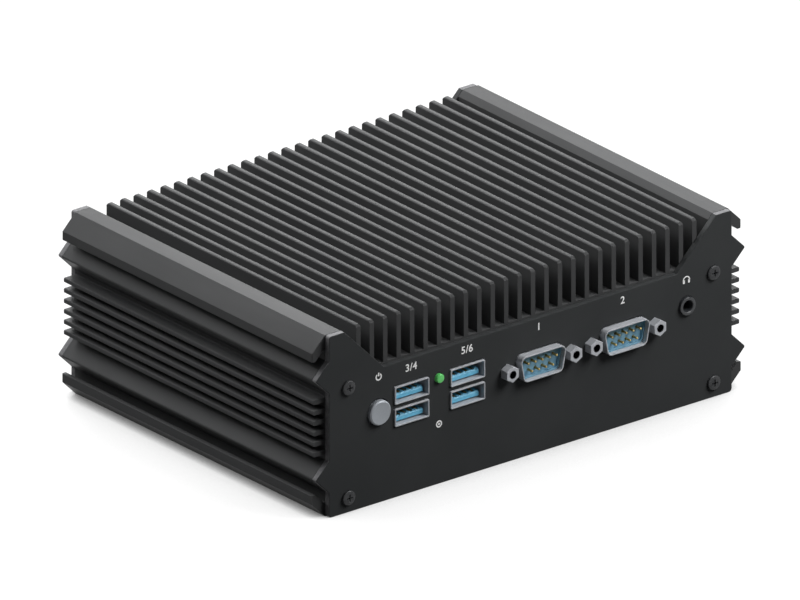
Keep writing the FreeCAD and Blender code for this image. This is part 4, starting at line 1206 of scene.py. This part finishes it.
grey_silicone = new_finish("grey_silicone_pad", (0.42, 0.44, 0.47), 0.8, specular=0.3)
tint(grey_silicone, 0.0005, (0.38, 0.40, 0.43), (0.46, 0.48, 0.51))
rub(grey_silicone, 0.001, 0.72, 0.9)
relief(grey_silicone, 0.0004, 0.00002, detail=3.0)
dress(grey_silicone, "thermal_pad")

milled_aluminium = new_finish("milled_aluminium", (0.62, 0.63, 0.65), 0.32, metallic=1.0)
tint(milled_aluminium, 0.003, (0.57, 0.58, 0.60), (0.67, 0.68, 0.70))
rub(milled_aluminium, (0.02, 0.0004, 0.0004), 0.22, 0.42)
relief(milled_aluminium, (0.02, 0.0005, 0.0005), 0.00001)
dress(milled_aluminium, "heat_block")
dress(zinc_steel, "heat_block_screws", "board_screws")


# ---- Memory and storage ----
# Under the board are a memory module in its long socket and a narrow flash module, held at one
# end by its socket and at the other by a screw in a threaded post.
dress(green_resist, "memory_module", "storage_module")
dress(package_black, "memory_chips")
dress(black_moulding, "memory_socket", "storage_socket")
dress(zinc_steel, "storage_post", "storage_screw")


# ---- Clock cell ----
# A coin cell keeps the clock going. It is plated steel and snaps into a round moulded holder on
# the underside of the board.
cell_plate = new_finish("plated_cell_steel", (0.62, 0.62, 0.60), 0.26, metallic=1.0)
tint(cell_plate, 0.002, (0.58, 0.58, 0.56), (0.66, 0.66, 0.64))
rub(cell_plate, (0.004, 0.0003, 0.0003), 0.18, 0.36)
relief(cell_plate, 0.0003, 0.000003)
dress(cell_plate, "coin_cell")
dress(black_moulding, "cell_holder")


# ---- Capacitors and chokes ----
# Beside the power inlet stand a row of can capacitors in drawn aluminium and a row of moulded
# chokes, all soldered to the board.
drawn_cans = new_finish("drawn_capacitor_aluminium", (0.60, 0.61, 0.63), 0.3, metallic=0.95)
tint(drawn_cans, (0.0006, 0.0006, 0.006), (0.54, 0.55, 0.57), (0.66, 0.67, 0.69))
rub(drawn_cans, (0.0003, 0.0003, 0.005), 0.22, 0.38)
relief(drawn_cans, (0.0003, 0.0003, 0.005), 0.000004)
dress(drawn_cans, "capacitors")

ferrite_moulding = new_finish("moulded_ferrite", (0.035, 0.035, 0.037), 0.7, specular=0.3)
tint(ferrite_moulding, 0.0004, (0.026, 0.026, 0.028), (0.046, 0.046, 0.048))
rub(ferrite_moulding, 0.0006, 0.6, 0.8)
relief(ferrite_moulding, 0.0002, 0.00002, detail=2.0)
dress(ferrite_moulding, "chokes")


# ---- Sizes and end ----
low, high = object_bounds()
